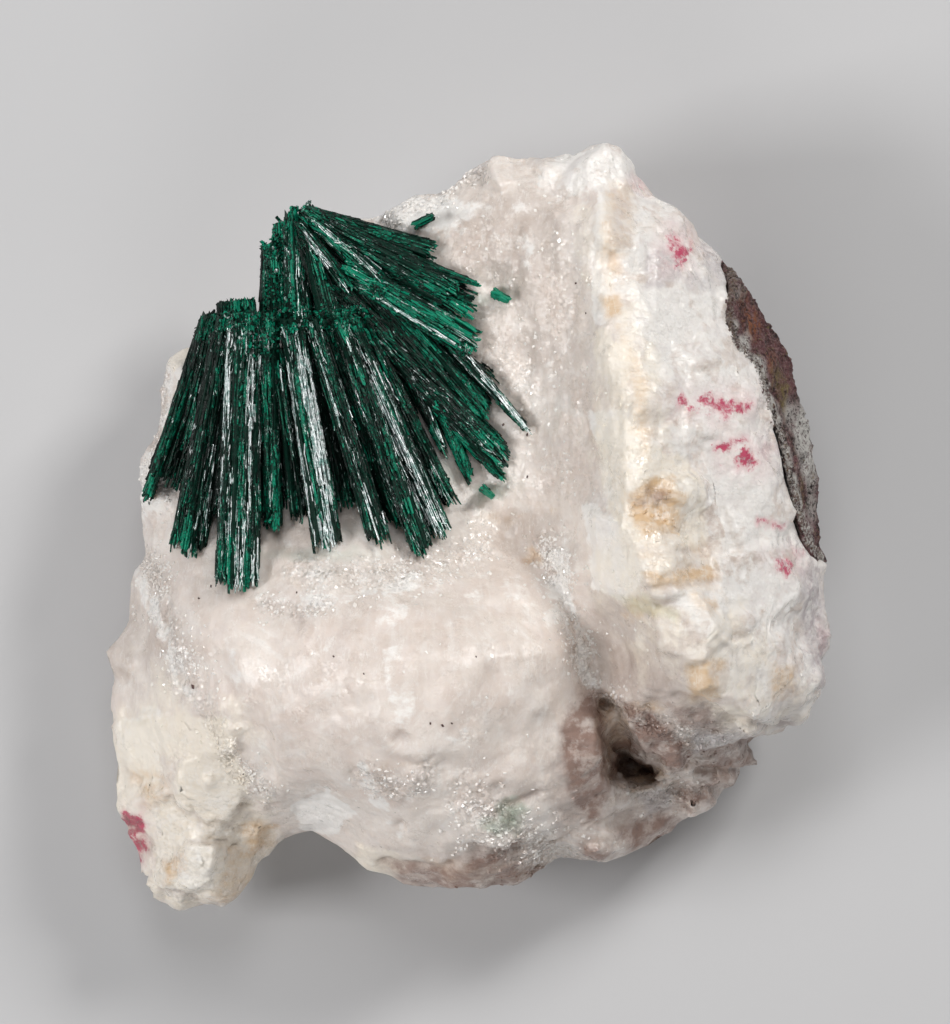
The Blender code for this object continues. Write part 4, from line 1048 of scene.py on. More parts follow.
def malachite_material(name, silky):
    """Dark green malachite whose fibres run from near black, partly painted shade, to emerald, with
    a painted silver sheen on the silky ones.
    """
    tone = colors()
    sheet = Sheet(name)
    fine = sheet.noise(0.0006, 4.0, 0.65)
    grain = sheet.noise(0.00020, 2.0, 0.6)
    if not silky:
        base = sheet.blend((fine * 0.6).step(0.1, 0.6), tone.malachite_dark, tone.malachite_green)
        return sheet.surface({
            "Base Color": base, "Roughness": 0.5, "Normal": sheet.bump(fine, 0.0004, 0.8),
            "Specular IOR Level": 0.25,
        })
    across, along = sheet.attribute("across"), sheet.attribute("along")
    threads = sheet.noise(0.10, 2.0, 0.55, sheet.join(across, along * 0.10))
    glints = sheet.noise(0.085, 2.0, 0.55, sheet.join(across + 50.0, along * 0.07))
    bright = sheet.attribute("tone") + 1.5 * (threads - 0.5) + 1.4 * (grain - 0.5)
    bright = bright + 0.5 * (fine - 0.5)
    base = sheet.blend(bright.step(0.08, 0.60), tone.malachite_dark, tone.malachite_green)
    base = sheet.blend(bright.step(0.45, 0.95), base, tone.malachite_bright)
    reach = glints + 0.48 * (sheet.attribute("silk") - 0.5) + 0.35 * (grain - 0.5)
    silk = reach.step(0.458, 0.588)
    # Painted sheen: silky fibres get a teal to silver colour
    painted_sheen = sheet.blend(fine.step(0.35, 0.60), tone.malachite_dull_sheen, tone.malachite_bright_sheen)
    base = sheet.blend(silk * 0.95, base, painted_sheen)
    return sheet.surface({
        "Base Color": base, "Metallic": silk * 0.35, "Roughness": (0.42 - 0.12 * silk).clamp(),
        "Normal": sheet.bump(grain + threads, 0.00010, 0.8), "Specular IOR Level": 0.25,
    })


def speck_material():
    """Dark mineral grains."""
    sheet = Sheet("speck_surface")
    shade = sheet.noise(0.0004, 2.0, 0.5)
    base = sheet.blend(shade, colors().rock_dark, colors().rock_brown)
    return sheet.surface({"Base Color": base, "Roughness": 0.55})


def floor_material():
    """The plain pale floor."""
    sheet = Sheet("floor_surface")
    mottle = sheet.noise(0.02, 3.0, 0.5)
    base = sheet.blend(mottle, colors().floor, [part * 0.97 for part in colors().floor])
    return sheet.surface({"Base Color": base, "Roughness": 0.85, "IOR": 1.4})


def broken_mask(points):
    """Where the calcite is cleaved and rough rather than smooth, from 0 to 1."""
    flank = right_of_crest(points, 8.0) * 0.65
    rough = patches(points, BROKEN_PATCHES, 0.4, 3)
    return np.clip(np.maximum(flank, rough), 0, 1)


def zone_masks(points):
    """How far each point lies inside the zones of each colour, from 0 to 1."""
    flat = bent(points, 1.6, 0.30, 331)
    result = {}
    for outline, color, strength in ZONES:
        depth = depth_inside(flat, px_all(outline))
        value = strength * np.clip(0.6 + depth / 1.4, 0, 1)
        result[color] = np.maximum(result.get(color, 0.0), value)
    return result


def cleavage_faces(points):
    """Heights and tones of the large and of the small tilted faces of broken calcite."""
    uneven = bent(points, 2.4, 0.5, 301)
    return facets(uneven, 3.2, 7, (0.9, 1.2, 1.0)), facets(uneven, 1.3, 9, (1.3, 0.8, 1.0))


def vein_mask(points, white):
    """Add the white veins to where the calcite is white."""
    for line, reach, strength in VEINS:
        distance, _ = line_distance(points, px_all(line))
        wander = distance + 0.25 * clouds(points, 1.2, 47, 2)
        white = np.maximum(white, strength * np.clip(1.4 - wander / (reach * MM_PER_PX), 0, 1))
    return white


def store_calcite_masks(mesh, points, faces, least_white_and_glint=0.0):
    """Keep on a mesh where each colour of the calcite shows."""
    zones = zone_masks(points)
    (_, large), (_, small) = faces
    store(mesh, "broken", broken_mask(points))
    store(mesh, "cell", 0.6 * large + 0.4 * small)
    white = np.maximum.reduce([zones["white"], right_of_crest(points, 6.0) * 0.44,
                               patches(points, WHITE_PATCHES, 0.6, 23)])
    store(mesh, "white", np.maximum(vein_mask(points, white), least_white_and_glint))
    for name, spots, seed in (("cream", CREAM_PATCHES, 11), ("shade", SHADE_PATCHES, 43),
                              ("amber", AMBER_PATCHES, 37), ("gloss_and_sheen", GLOSS_AND_SHEEN_PATCHES, 61),
                              ("crust", CRUST_PATCHES, 67), ("pink", PINK_PATCHES, 41),
                              ("green", GREEN_PATCHES, 53)):
        store(mesh, name, np.maximum(patches(points, spots, 0.5, seed), zones.get(name, 0.0)))
    for name in ("olive", "lilac"):
        store(mesh, name, zones[name])
    store(mesh, "druse", druse_mask(points))
    # Painted shade: pits, the hollow, the dark zones and the cracks
    store(mesh, "dark", np.maximum.reduce([
        patches(points, DARK_PATCHES, 0.4, 59), hollow_shade_mask(points), zones["dark"],
        0.9 * crack_depth(points)]))


def crack_depth(points):
    """How deep points lie in the cracks, in millimetres."""
    result = np.zeros(len(points))
    flat = bent(points, 1.0, 0.14, 341)
    for line, reach, depth in CRACKS:
        distance, _ = line_distance(flat, px_all(line))
        result = np.maximum(result, depth * np.exp(-(distance / (reach * MM_PER_PX)) ** 2))
    return result


def hollow_shade_mask(points):
    """How deep points lie inside the three-cornered hollow, from 0 to 1, more so lower down:
    painted shade for the hollow.
    """
    depth = depth_inside(points, px_all(HOLLOW_PX))
    signed = np.where(depth > 0, depth / 1.2, depth / 1.5)
    lower = np.clip((px(0, 700)[1] - points[:, 1]) / 4.0, 0.35, 1.0)
    return 0.8 * np.clip(0.15 + signed, 0, 1) * lower


def pale_share(points):
    """How much pale crust lies on the rock's edge, from 0 at its upper end to 1 below."""
    return np.clip((px(0, 330)[1] - points[:, 1]) / 2.0, 0, 1)


def druse_mask(points):
    """How much druse covers each point, from 0 to 1."""
    result = np.zeros(len(points))
    for line, reach, _ in DRUSE_BANDS:
        distance, _ = line_distance(points, px_all(line))
        share = 0.25 if reach > 24 else 1.0
        near = np.clip(1.3 - distance / (reach * MM_PER_PX), 0, 1)
        result = np.maximum(result, share * near)
    return result


def finish_piece(item, material, smooth):
    """Give a piece its material, its shading and its place in the model."""
    item.data.materials.clear()
    item.data.materials.append(material)
    item.data.polygons.foreach_set("use_smooth", np.full(len(item.data.polygons), smooth))
    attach(item, "root")
    return item


# Needles
def needle_mesh(starts, tips, widths, heights, rolls, cuts):
    """Four-sided needles with slanting broken ends, as arrays of points and faces."""
    count = len(starts)
    axis = unit(tips - starts)
    side = unit(np.cross(axis, np.tile([0.0, 0.0, 1.0], (count, 1))))
    up = np.cross(side, axis)
    cosine, sine = np.cos(rolls)[:, None], np.sin(rolls)[:, None]
    side, up = side * cosine + up * sine, up * cosine - side * sine
    points = np.empty((count, 2, 4, 3))
    for station, middle in enumerate((starts, tips)):
        for corner, (a, b) in enumerate(((-0.5, -0.5), (0.5, -0.5), (0.32, 0.5), (-0.32, 0.5))):
            shift = cuts[:, corner] if station else -cuts[:, corner]
            spot = middle + side * (a * widths)[:, None] + up * (b * heights)[:, None]
            points[:, station, corner] = spot + axis * shift[:, None]
    sides = [(corner, (corner + 1) % 4, 4 + (corner + 1) % 4, 4 + corner) for corner in range(4)]
    sides += [(3, 2, 1, 0), (4, 5, 6, 7)]
    faces = (np.arange(count)[:, None, None] * 8 + np.array(sides)[None]).reshape(-1, 4)
    return points.reshape(-1, 3), faces


def bundle_segments(draw, tracks, length, ragged, gap_chance, seed):
    """Break the tracks of a bundle into short fibres: track place, start and end of each."""
    rows = []
    crumble = min(6.0, 0.3 * length)
    spots = np.stack([np.arange(tracks) * 0.19, np.zeros(tracks), np.full(tracks, seed)], axis=1)
    late = min(2.2, 0.1 * length) * np.clip(swell(spots, 1.0, 95) + 0.1, 0, 1)
    for track in range(tracks):
        place = (track + 0.5 + draw.uniform(-0.4, 0.4)) / tracks * 2 - 1
        where = ragged * draw.uniform(-0.1, 0.6) + late[track]
        last = length - ragged * (0.7 * place * place + draw.uniform(-0.3, 0.7))
        while where < last - 0.2:
            shorter = 0.30 + 0.70 * min(1.0, max(where, 0.0) / crumble)
            step = float(np.clip(draw.lognormal(0.40, 0.60), 0.5, 6.0)) * shorter
            stop = min(where + step, last)
            if draw.uniform() > gap_chance:
                rows.append((place, where, stop + draw.uniform(0.0, 0.25)))
            where = stop
    return np.array(rows).reshape(-1, 3)


def bundle_needles(bundle, index, draw, layers):
    """Work out the ends, tone and silk of every needle of one bundle."""
    start_px, tip_px, width0, width1, top0, top1, deep0, deep1, tone, silk = bundle
    start, tip = np.array(px(*start_px)), np.array(px(*tip_px))
    along = tip - start
    length = float(np.hypot(*along))
    along = along / length
    across = np.array([-along[1], along[0]])
    pitch = settings().needle_width * 0.78
    tracks = max(3, round(0.05 * (width0 + width1) / pitch))
    ragged = min(1.8, 0.12 * length)
    parts = []
    for layer, (depth, gaps) in enumerate(layers):
        rows = bundle_segments(draw, tracks, length, ragged, gaps, 5.3 * index)
        parts.append(np.hstack([rows, np.full((len(rows), 1), depth),
                                np.full((len(rows), 1), float(layer))]))
    depth = 0.6
    while depth < 0.5 * (deep0 + deep1):
        rows = bundle_segments(draw, 2, length, ragged, 0.1, 5.3 * index)
        rows[:, 0] = np.sign(rows[:, 0]) * draw.uniform(0.93, 1.0, len(rows))
        parts.append(np.hstack([rows, np.full((len(rows), 1), depth),
                                np.full((len(rows), 1), 2.0)]))
        depth += 0.35
    rows = np.vstack(parts)
    count = len(rows)
    place, first, last, depth, layer = rows.T
    middle = 0.5 * (first + last)
    broad = 0.05 * (width0 + (width1 - width0) * middle / length)
    field = np.stack([place * broad / 0.55, middle / 4.5, np.full(count, 7.3 * index)], axis=1)
    rib = swell(field, 1.0, 90)
    patch = swell(field * np.array([0.6, 2.2, 1.0]), 1.0, 91)
    short = np.clip(1 - (last - first) / 0.9, 0, 1)
    lift = 0.34 * rib + 0.20 * patch - depth + draw.normal(0.0, 0.06, count) - 0.25
    tilt = draw.normal(0.0, 0.05, count) * (1 + 2 * short)
    drift = draw.normal(0.0, 0.05, count) * (1 + 2 * short)
    ends, sides = [], []
    for where, turn in ((first, -1.0), (last, 1.0)):
        share = where / length
        half = 0.05 * (width0 + (width1 - width0) * share)
        level = top0 + (top1 - top0) * share - 0.9 * place ** 2 + lift + tilt * turn
        side = half * place + drift * turn
        flat = start + np.outer(where, along) + np.outer(side, across)
        ends.append(np.column_stack([flat, level]))
        sides.append(side)
    ending = np.clip((last / length - 0.80) / 0.20, 0, 1)
    starting = np.clip(1 - first / 2.5, 0, 1)
    # Painted shade: deeper layers and the sides of a bundle are darker, raised ribs lighter
    tones = tone + 0.34 * patch + 0.20 * rib + draw.normal(0.0, 0.10, count) - 0.14 * layer
    tones = tones + 0.30 * ending + 0.30 * starting - 0.16 * place ** 2
    run = np.stack([place * broad / 0.30, middle / 9.0, np.full(count, 3.1 * index)], axis=1)
    line = np.clip(1.0 + 2.0 * swell(run, 1.0, 92), 0.15, 2.6)
    silks = silk * line * (1.0 + 0.6 * rib) * (1 - 0.75 * starting) / (1 + layer)
    silks = np.clip(silks * draw.uniform(0.5, 1.4, count), 0, 1)
    ends[0][:, 2] += 0.07 * (silks > 0.4)
    ends[1][:, 2] += 0.07 * (silks > 0.4)
    lengthwise = np.stack([first, last], axis=1)
    return ends[0], ends[1], tones, silks, np.stack(sides, axis=1) + 9.0 * index, lengthwise


def needles_piece(name, bundles, layers, seed):
    """Make one piece of all the needles of a list of bundles."""
    draw = np.random.default_rng(seed)
    parts = [bundle_needles(bundle, index, draw, layers) for index, bundle in enumerate(bundles)]
    starts, tips, tones, silks, sides, lengthwise = (
        np.concatenate(group) for group in zip(*parts))
    count = len(starts)
    width = settings().needle_width * draw.uniform(0.5, 1.25, count) * (1 - 0.35 * (silks > 0.3))
    height = width * draw.uniform(0.7, 1.2, count)
    rolls = np.where(silks > 0.3, draw.normal(0.0, 0.25, count), draw.uniform(-0.9, 0.9, count))
    cuts = draw.uniform(-0.14, 0.14, (count, 4))
    points, faces = needle_mesh(starts, tips, width, height, rolls, cuts)
    mesh = mesh_from_arrays(name, points, faces)
    shades = np.repeat(tones, 8).reshape(count, 2, 4)
    shades[:, 1] += 0.14
    store(mesh, "tone", shades.ravel())
    store(mesh, "silk", np.repeat(silks, 8))
    corner_side = np.array([-0.5, 0.5, 0.32, -0.32])
    across = sides[:, :, None] + corner_side * width[:, None, None]
    store(mesh, "across", across.ravel())
    store(mesh, "along", np.repeat(lengthwise.ravel(), 4))
    return link(bpy.data.objects.new(name, mesh))


# Sizes and colours that a user may change
class SpecimenSizes(bpy.types.PropertyGroup):
    """Sizes of the specimen's fine surface."""

    calcite_cell: FloatProperty(
        name="Calcite cell", description="Spacing of the calcite's fine surface in millimetres",
        default=0.33, min=0.2, max=1.0)
    rock_cell: FloatProperty(
        name="Rock cell", description="Spacing of the host rock's fine surface in millimetres",
        default=0.22, min=0.15, max=1.0)
    needle_width: FloatProperty(
        name="Needle width", description="Usual width of a malachite needle in millimetres",
        default=0.22, min=0.15, max=1.0)
    druse_size: FloatProperty(
        name="Druse size", description="Usual size of a druse crystal in millimetres",
        default=0.17, min=0.08, max=1.5)
    flake_size: FloatProperty(
        name="Flake size", description="Usual size of a calcite cleavage flake in millimetres",
        default=0.24, min=0.1, max=4.0)
    flake_count: IntProperty(
        name="Flakes", description="How many cleavage flakes are scattered over the calcite",
        default=1200, min=0, max=15000)
    seam_grains: IntProperty(
        name="Seam grains", description="How many grains close the seam of calcite and rock",
        default=1900, min=0, max=15000)
    floor_size: FloatProperty(
        name="Floor size", description="Side of the square floor", default=3.0, min=0.5,
        subtype="DISTANCE", unit="LENGTH")


def tint(label, note, default):
    """A colour that the user can change."""
    return FloatVectorProperty(name=label, description=note, default=default, subtype="COLOR",
                               min=0.0, max=1.0)


class SpecimenColors(bpy.types.PropertyGroup):
    """Colours of the specimen and its floor."""

    calcite_pink: tint("Calcite pink", "Milky pinkish calcite", (0.71, 0.61, 0.55))
    calcite_pale: tint("Calcite pale", "Paler milky calcite", (0.80, 0.72, 0.66))
    calcite_white: tint("Calcite white", "White cleaved calcite", (0.93, 0.905, 0.875))
    calcite_cream: tint("Calcite cream", "Opaque cream calcite", (0.91, 0.83, 0.71))
    # Clearer calcite, and painted shade in the valley and along the lower edges
    clear_calcite_and_shade: tint("Calcite shade", "Clearer calcite that looks darker", (0.50, 0.42, 0.37))
    calcite_lilac: tint("Calcite lilac", "Greyish clear parts of calcite", (0.72, 0.66, 0.645))
    calcite_blush: tint("Calcite blush", "Pinkish haze in calcite", (0.80, 0.48, 0.50))
    calcite_grey: tint("Calcite grey", "Clear greyish lilac calcite", (0.60, 0.555, 0.555))
    olive_tinge: tint("Olive tinge", "Pale olive stain", (0.55, 0.53, 0.30))
    calcite_crust: tint("Calcite crust", "Grey specks near the rock", (0.34, 0.27, 0.29))
    # Painted shade with a brownish tint, in the hollow, folds, cracks, pits and along the lower
    # edge
    painted_shade_brown: tint("Hollow dark", "Iron stained calcite in hollows", (0.28, 0.175, 0.14))
    amber: tint("Amber", "Tan and amber calcite", (0.68, 0.47, 0.27))
    magenta: tint("Magenta", "Magenta pink calcite spots", (0.54, 0.045, 0.12))
    magenta_dark: tint("Dark magenta", "Darker grains of the pink spots", (0.22, 0.012, 0.05))
    green_stain: tint("Green stain", "Pale green stain", (0.27, 0.42, 0.32))
    # Also the painted shade of deeper needle layers, bundle sides and fill needles
    malachite_dark: tint("Malachite dark", "Near black malachite", (0.0008, 0.0065, 0.0042))
    malachite_green: tint("Malachite green", "Body colour of malachite", (0.001, 0.050, 0.030))
    malachite_bright: tint("Malachite bright", "Emerald ends of fibres", (0.002, 0.25, 0.145))
    # Painted silver sheen of the silky fibres, duller and brighter
    malachite_dull_sheen: tint("Malachite teal", "Duller silky fibres", (0.20, 0.36, 0.33))
    malachite_bright_sheen: tint("Malachite silver", "Silky fibres", (0.90, 0.94, 0.95))
    rock_dark: tint("Rock dark", "Near black grains", (0.018, 0.010, 0.009))
    rock_brown: tint("Rock brown", "Brown body of the rock", (0.13, 0.057, 0.051))
    rock_maroon: tint("Rock maroon", "Purplish brown areas", (0.155, 0.060, 0.066))
    rock_fleck: tint("Rock flecks", "Lilac grey flecks", (0.32, 0.20, 0.20))
    rock_rust: tint("Rock rust", "Rust orange patch", (0.27, 0.095, 0.04))
    rock_olive: tint("Rock olive", "Olive yellow patch", (0.22, 0.17, 0.06))
    rock_pale: tint("Rock pale", "Pale grey crust", (0.62, 0.60, 0.57))
    floor: tint("Floor", "Pale floor", (0.53, 0.53, 0.54))


class SPECIMEN_OT_stage(bpy.types.Operator):
    """Add the floor, the soft lights and the camera above the specimen"""

    bl_idname = "specimen.stage"
    bl_label = "Stage"

    def execute(self, context):
        half = settings().floor_size / MM / 2
        corners = np.array([(-half, -half, -0.05), (half, -half, -0.05), (half, half, -0.05),
                            (-half, half, -0.05)])
        floor = link(bpy.data.objects.new(
            "floor", mesh_from_arrays("floor", corners, np.array([(0, 1, 2, 3)]))))
        floor.data.materials.append(floor_material())
        self.light("key_light", (0.42, 0.44, 0.58), 0.18, 3.95, (1.0, 0.985, 0.96))
        self.light("side_light", (-0.58, -0.06, 0.52), 0.24, 3.05, (1.0, 0.99, 0.98))
        self.light("top_light", (-0.05, 0.46, 0.90), 0.34, 1.7, (1.0, 1.0, 1.0))
        self.light("low_light", (0.02, -0.70, 0.50), 0.40, 1.45, (1.0, 0.99, 0.97))
        world = bpy.data.worlds.new("studio")
        world.use_nodes = True
        world.node_tree.nodes["Background"].inputs["Color"].default_value = (1, 1, 1, 1)
        world.node_tree.nodes["Background"].inputs["Strength"].default_value = 0.15
        context.scene.world = world
        self.camera(context)
        context.scene.view_settings.view_transform = "Standard"
        return {"FINISHED"}

    def light(self, name, spot, size, power, color):
        """A square soft light that points at the specimen."""
        data = bpy.data.lights.new(name, "AREA")
        data.shape = "SQUARE"
        data.size = size
        data.energy = power
        data.color = color
        item = link(bpy.data.objects.new(name, data))
        item.location = spot
        aim = Vector((0, 0, 0.02)) - Vector(spot)
        item.rotation_euler = aim.to_track_quat("-Z", "Y").to_euler()

    def camera(self, context):
        """Look straight down from far off, with the photograph's framing."""
        distance, level = 1.6, 0.018
        middle_x, middle_y = px(475, 512)
        data = bpy.data.cameras.new("camera")
        data.sensor_width = 36.0
        data.lens = data.sensor_width * distance / (1024 * MM_PER_PX * MM)
        data.clip_start, data.clip_end = 0.05, 20.0
        camera = link(bpy.data.objects.new("camera", data))
        camera.location = (middle_x * MM, middle_y * MM, level + distance)
        context.scene.camera = camera


class SPECIMEN_OT_calcite(bpy.types.Operator):
    """Give the calcite its lumps, steps and fine broken surface"""

    bl_idname = "specimen.calcite"
    bl_label = "Calcite"

    def execute(self, context):
        smoothing = 22
        item = dense_copy("calcite_body", "calcite_matrix", settings().calcite_cell, smoothing)
        thin_out(item, THINNED_TRIANGLES)
        mesh = item.data
        points, normals = mesh_points(mesh), mesh_normals(mesh)
        faces = cleavage_faces(points)
        store_calcite_masks(mesh, points, faces)
        forms, fine = self.relief(points, faces)
        low = np.clip(points[:, 2] / BASE_FADE, 0, 1)
        points = flatten_faces(points + normals * (forms * low)[:, None], normals, FACES)
        points = points + normals * (fine * low)[:, None]
        set_points(mesh, self.keep_in_box(points))
        to_metres(item)
        material = calcite_material("calcite_surface", 0.40, 1.0, True)
        finish_piece(item, material, True)
        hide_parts("calcite_matrix")
        if triangle_count(mesh) > MOST_TRIANGLES:
            raise RuntimeError("the calcite has %d triangles" % triangle_count(mesh))
        return {"FINISHED"}

    def relief(self, points, faces):
        """How far the surface stands out in its forms, and in its fine grain, in millimetres."""
        (large, _), (small, _) = faces
        flank = right_of_crest(points, 8.0)
        foot = patches(points, FOOT_PATCHES, 0.3, 3)
        ledges = patches(points, LEDGE_PATCHES, 0.3, 4)
        dome = patches(points, DOME_PATCHES, 0.3, 5)
        broken = np.clip(np.maximum.reduce([flank, foot, ledges]), 0, 1)
        streaky = clouds(points * np.array([1.0, 0.38, 1.0]), 1.8, 33, 2)
        forms = 0.34 * clouds(points, 5.0, 1, 2) + (0.15 - 0.10 * dome) * streaky
        forms += (0.34 + 0.25 * np.maximum(ledges, foot)) * broken * large
        forms += 0.60 * ledges * terraces(points, (0.24, -0.93, 0.28), 1.6, 0.45, 13)
        for x, y, reach, depth in PITS:
            away = ((points[:, :2] - np.array(px(x, y))) ** 2).sum(axis=1)
            forms -= depth * np.exp(-1.5 * away / (reach * MM_PER_PX) ** 2)
        seam, _ = line_distance(points, px_all(SEAM_PX))
        forms += 0.14 * np.clip(1.2 - seam, 0, 1)
        fine = (0.12 - 0.08 * dome - 0.05 * flank) * small
        fine += 0.09 * flank * clouds(points * np.array([0.35, 1.0, 1.0]), 1.1, 29, 3)
        fine += 0.05 * clouds(points, 0.75, 31, 2) * (1 + 2.5 * druse_mask(points) + 0.7 * broken)
        return forms, fine - crack_depth(points)

    def keep_in_box(self, points):
        """Hold the fine surface within a hair of the solids' box."""
        low, high = np.array(box_low) / MM, np.array(box_high) / MM
        return np.clip(points, low - 0.2 * np.array([1, 1, 0]), high + 0.2)


class SPECIMEN_OT_flakes(bpy.types.Operator):
    """Scatter cleavage flakes and druse crystals over the calcite"""

    bl_idname = "specimen.flakes"
    bl_label = "Flakes and druse"

    def execute(self, context):
        tree = surface_tree(bpy.data.objects["calcite_body"])
        cover = surface_tree(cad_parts["malachite_fan"])
        self.flakes(tree, cover)
        self.druse(tree, cover)
        self.pocket(tree)
        self.seam(tree)
        return {"FINISHED"}

    def uncovered(self, cover, flat):
        """Leave out places that the malachite covers."""
        return flat[np.array([look_down(cover, x, y)[0] is None for x, y in flat])]

    def flakes(self, tree, cover):
        """Thin cleavage flakes, most of them on the broken calcite."""
        draw = np.random.default_rng(5)
        count = settings().flake_count
        flat = np.stack([draw.uniform(-36.5, 36.5, count * 3),
                         draw.uniform(-39, 39, count * 3)], axis=1)
        deep = np.hstack([flat, np.zeros((len(flat), 1))])
        weight = np.maximum(0.06 + 0.20 * right_of_crest(deep, 5.0),
                            patches(deep, FLAKED_PATCHES, 0.3, 3))
        flat = flat[draw.uniform(0, 1, len(flat)) < weight][:count]
        centres, facings = drop_on(tree, self.uncovered(cover, flat))
        total = len(centres)
        cell = np.floor(centres / 3.2).astype(np.int64)
        lean = np.stack([scatter_value(cell, 200 + axis) for axis in range(3)], axis=1)
        turn = scatter_value(cell, 210) * 1.5
        facings = unit(facings + 0.25 * lean + draw.normal(0, 0.22, (total, 3)))
        size = settings().flake_size * draw.uniform(0.35, 1.5, total) ** 1.6
        thick = 0.5 * size
        centres = centres - facings * (thick * draw.uniform(0.10, 0.45, total))[:, None]
        points, faces = rhombs(centres, facings, size, size * draw.uniform(0.4, 0.9, total),
                               thick, turn + draw.normal(0.0, 0.12, total), 0.25)
        self.make("calcite_flakes", points, faces, 0.30)

    def druse(self, tree, cover):
        """Sugary grains in bands and clumps."""
        draw = np.random.default_rng(6)
        spots = []
        for line, reach, count in DRUSE_BANDS:
            line = px_all(line)
            share = draw.uniform(0, len(line) - 1.001, count)
            index = share.astype(int)
            centre = line[index] + (line[index + 1] - line[index]) * (share - index)[:, None]
            spots.append(centre + draw.normal(0, 0.95 * reach * MM_PER_PX, (count, 2)))
        flat = np.vstack(spots)
        clumps = clouds(np.hstack([flat, np.zeros((len(flat), 1))]), 2.2, 97, 2)
        flat = self.uncovered(cover, flat[clumps + draw.uniform(-0.5, 0.5, len(flat)) > -0.1])
        centres, facings = drop_on(tree, flat)
        total = len(centres)
        facings = unit(facings + draw.normal(0, 0.45, (total, 3)))
        size = settings().druse_size * draw.uniform(0.4, 1.5, total) ** 1.6
        centres = centres - facings * (size * draw.uniform(0.0, 0.35, total))[:, None]
        points, faces = rhombs(centres, facings, size, size * draw.uniform(0.6, 1.1, total),
                               size * draw.uniform(0.6, 1.2, total),
                               draw.uniform(0, math.tau, total), 0.3)
        self.make("calcite_druse", points, faces, 0.16)

    def pocket(self, tree):
        """Small clear crystals that stand in the amber pocket."""
        draw = np.random.default_rng(9)
        centres, facings = drop_on(tree, px_all(POCKET_CRYSTALS))
        size = np.array([crystal[2] for crystal in POCKET_CRYSTALS]) * MM_PER_PX * 0.62
        total = len(centres)
        facings = unit(facings + draw.normal(0, 0.25, (total, 3)))
        points, faces = rhombs(centres, facings, size * 1.1, size * 0.8, size * 0.7,
                               draw.uniform(0, math.tau, total), 0.25)
        self.make("pocket_crystals", points, faces, 0.22)

    def seam(self, tree):
        """Grains of rock and crust that close the contact of calcite and host rock."""
        draw = np.random.default_rng(10)
        trees = tree, surface_tree(bpy.data.objects["host_rock_body"])
        count = settings().seam_grains
        line = px_all(SEAM_PX)
        share = draw.uniform(0, len(line) - 1.001, count)
        index = share.astype(int)
        along = line[index + 1] - line[index]
        across = unit(np.stack([along[:, 1], -along[:, 0]], axis=1))
        flat = line[index] + along * (share - index)[:, None]
        flat = flat + across * draw.normal(-0.04, 0.15, count)[:, None]
        centres = self.on_the_seam(trees, flat, across)
        total = len(centres)
        facings = unit(np.tile([0.3, 0.1, 1.0], (total, 1)) + draw.normal(0, 0.4, (total, 3)))
        size = draw.uniform(0.14, 0.32, total)
        points, faces = rhombs(centres - facings * 0.05, facings, size, size * 0.8, size * 0.7,
                               draw.uniform(0, math.tau, total), 0.3)
        mesh = mesh_from_arrays("seam_grains", points, faces)
        crusted = 0.35 + 0.65 * pale_share(centres)
        store(mesh, "pale", np.repeat(draw.uniform(0.0, 1.0, total) * crusted, 8))
        store(mesh, "rust", np.zeros(len(points)))
        store(mesh, "olive", np.repeat(draw.uniform(0.0, 0.5, total), 8))
        item = link(bpy.data.objects.new("seam_grains", mesh))
        finish_piece(item, bpy.data.materials["host_rock_surface"], False)

    def on_the_seam(self, trees, flat, across):
        """Lift places on the seam to the level of its two sides, so that the gap is bridged."""
        side, lowest = 0.45, 2.0
        spots = []
        for place, aside in zip(flat, across):
            left, middle, right = (
                max(levels_below(trees, *(place + aside * shift)), default=0.0)
                for shift in (-side, 0.0, side))
            level = max(middle, min(left, right))
            if level > lowest:
                spots.append((place[0], place[1], level))
        return np.array(spots)

    def make(self, name, points, faces, roughness):
        """A piece of calcite grains, whiter than the calcite that they lie on: partly the white of
        druse, partly painted glints and painted light.
        """
        mesh = mesh_from_arrays(name, points, faces)
        store_calcite_masks(mesh, points, cleavage_faces(points), least_white_and_glint=0.6)
        item = link(bpy.data.objects.new(name, mesh))
        material = calcite_material(name + "_surface", roughness, 0.2, False)
        finish_piece(item, material, False)


class SPECIMEN_OT_specks(bpy.types.Operator):
    """Set the tiny dark mineral grains on the calcite"""

    bl_idname = "specimen.specks"
    bl_label = "Dark specks"

    def execute(self, context):
        draw = np.random.default_rng(8)
        tree = surface_tree(bpy.data.objects["calcite_body"])
        centres, facings = drop_on(tree, px_all(SPECKS))
        total = len(centres)
        size = np.array([speck[2] for speck in SPECKS])[:total] * MM_PER_PX * 0.8
        points, faces = rhombs(centres, unit(facings), size * 1.5, size, size * 0.6,
                               draw.uniform(0, math.tau, total), 0.3)
        item = link(bpy.data.objects.new("dark_specks", mesh_from_arrays(
            "dark_specks", points, faces)))
        finish_piece(item, speck_material(), False)
        return {"FINISHED"}


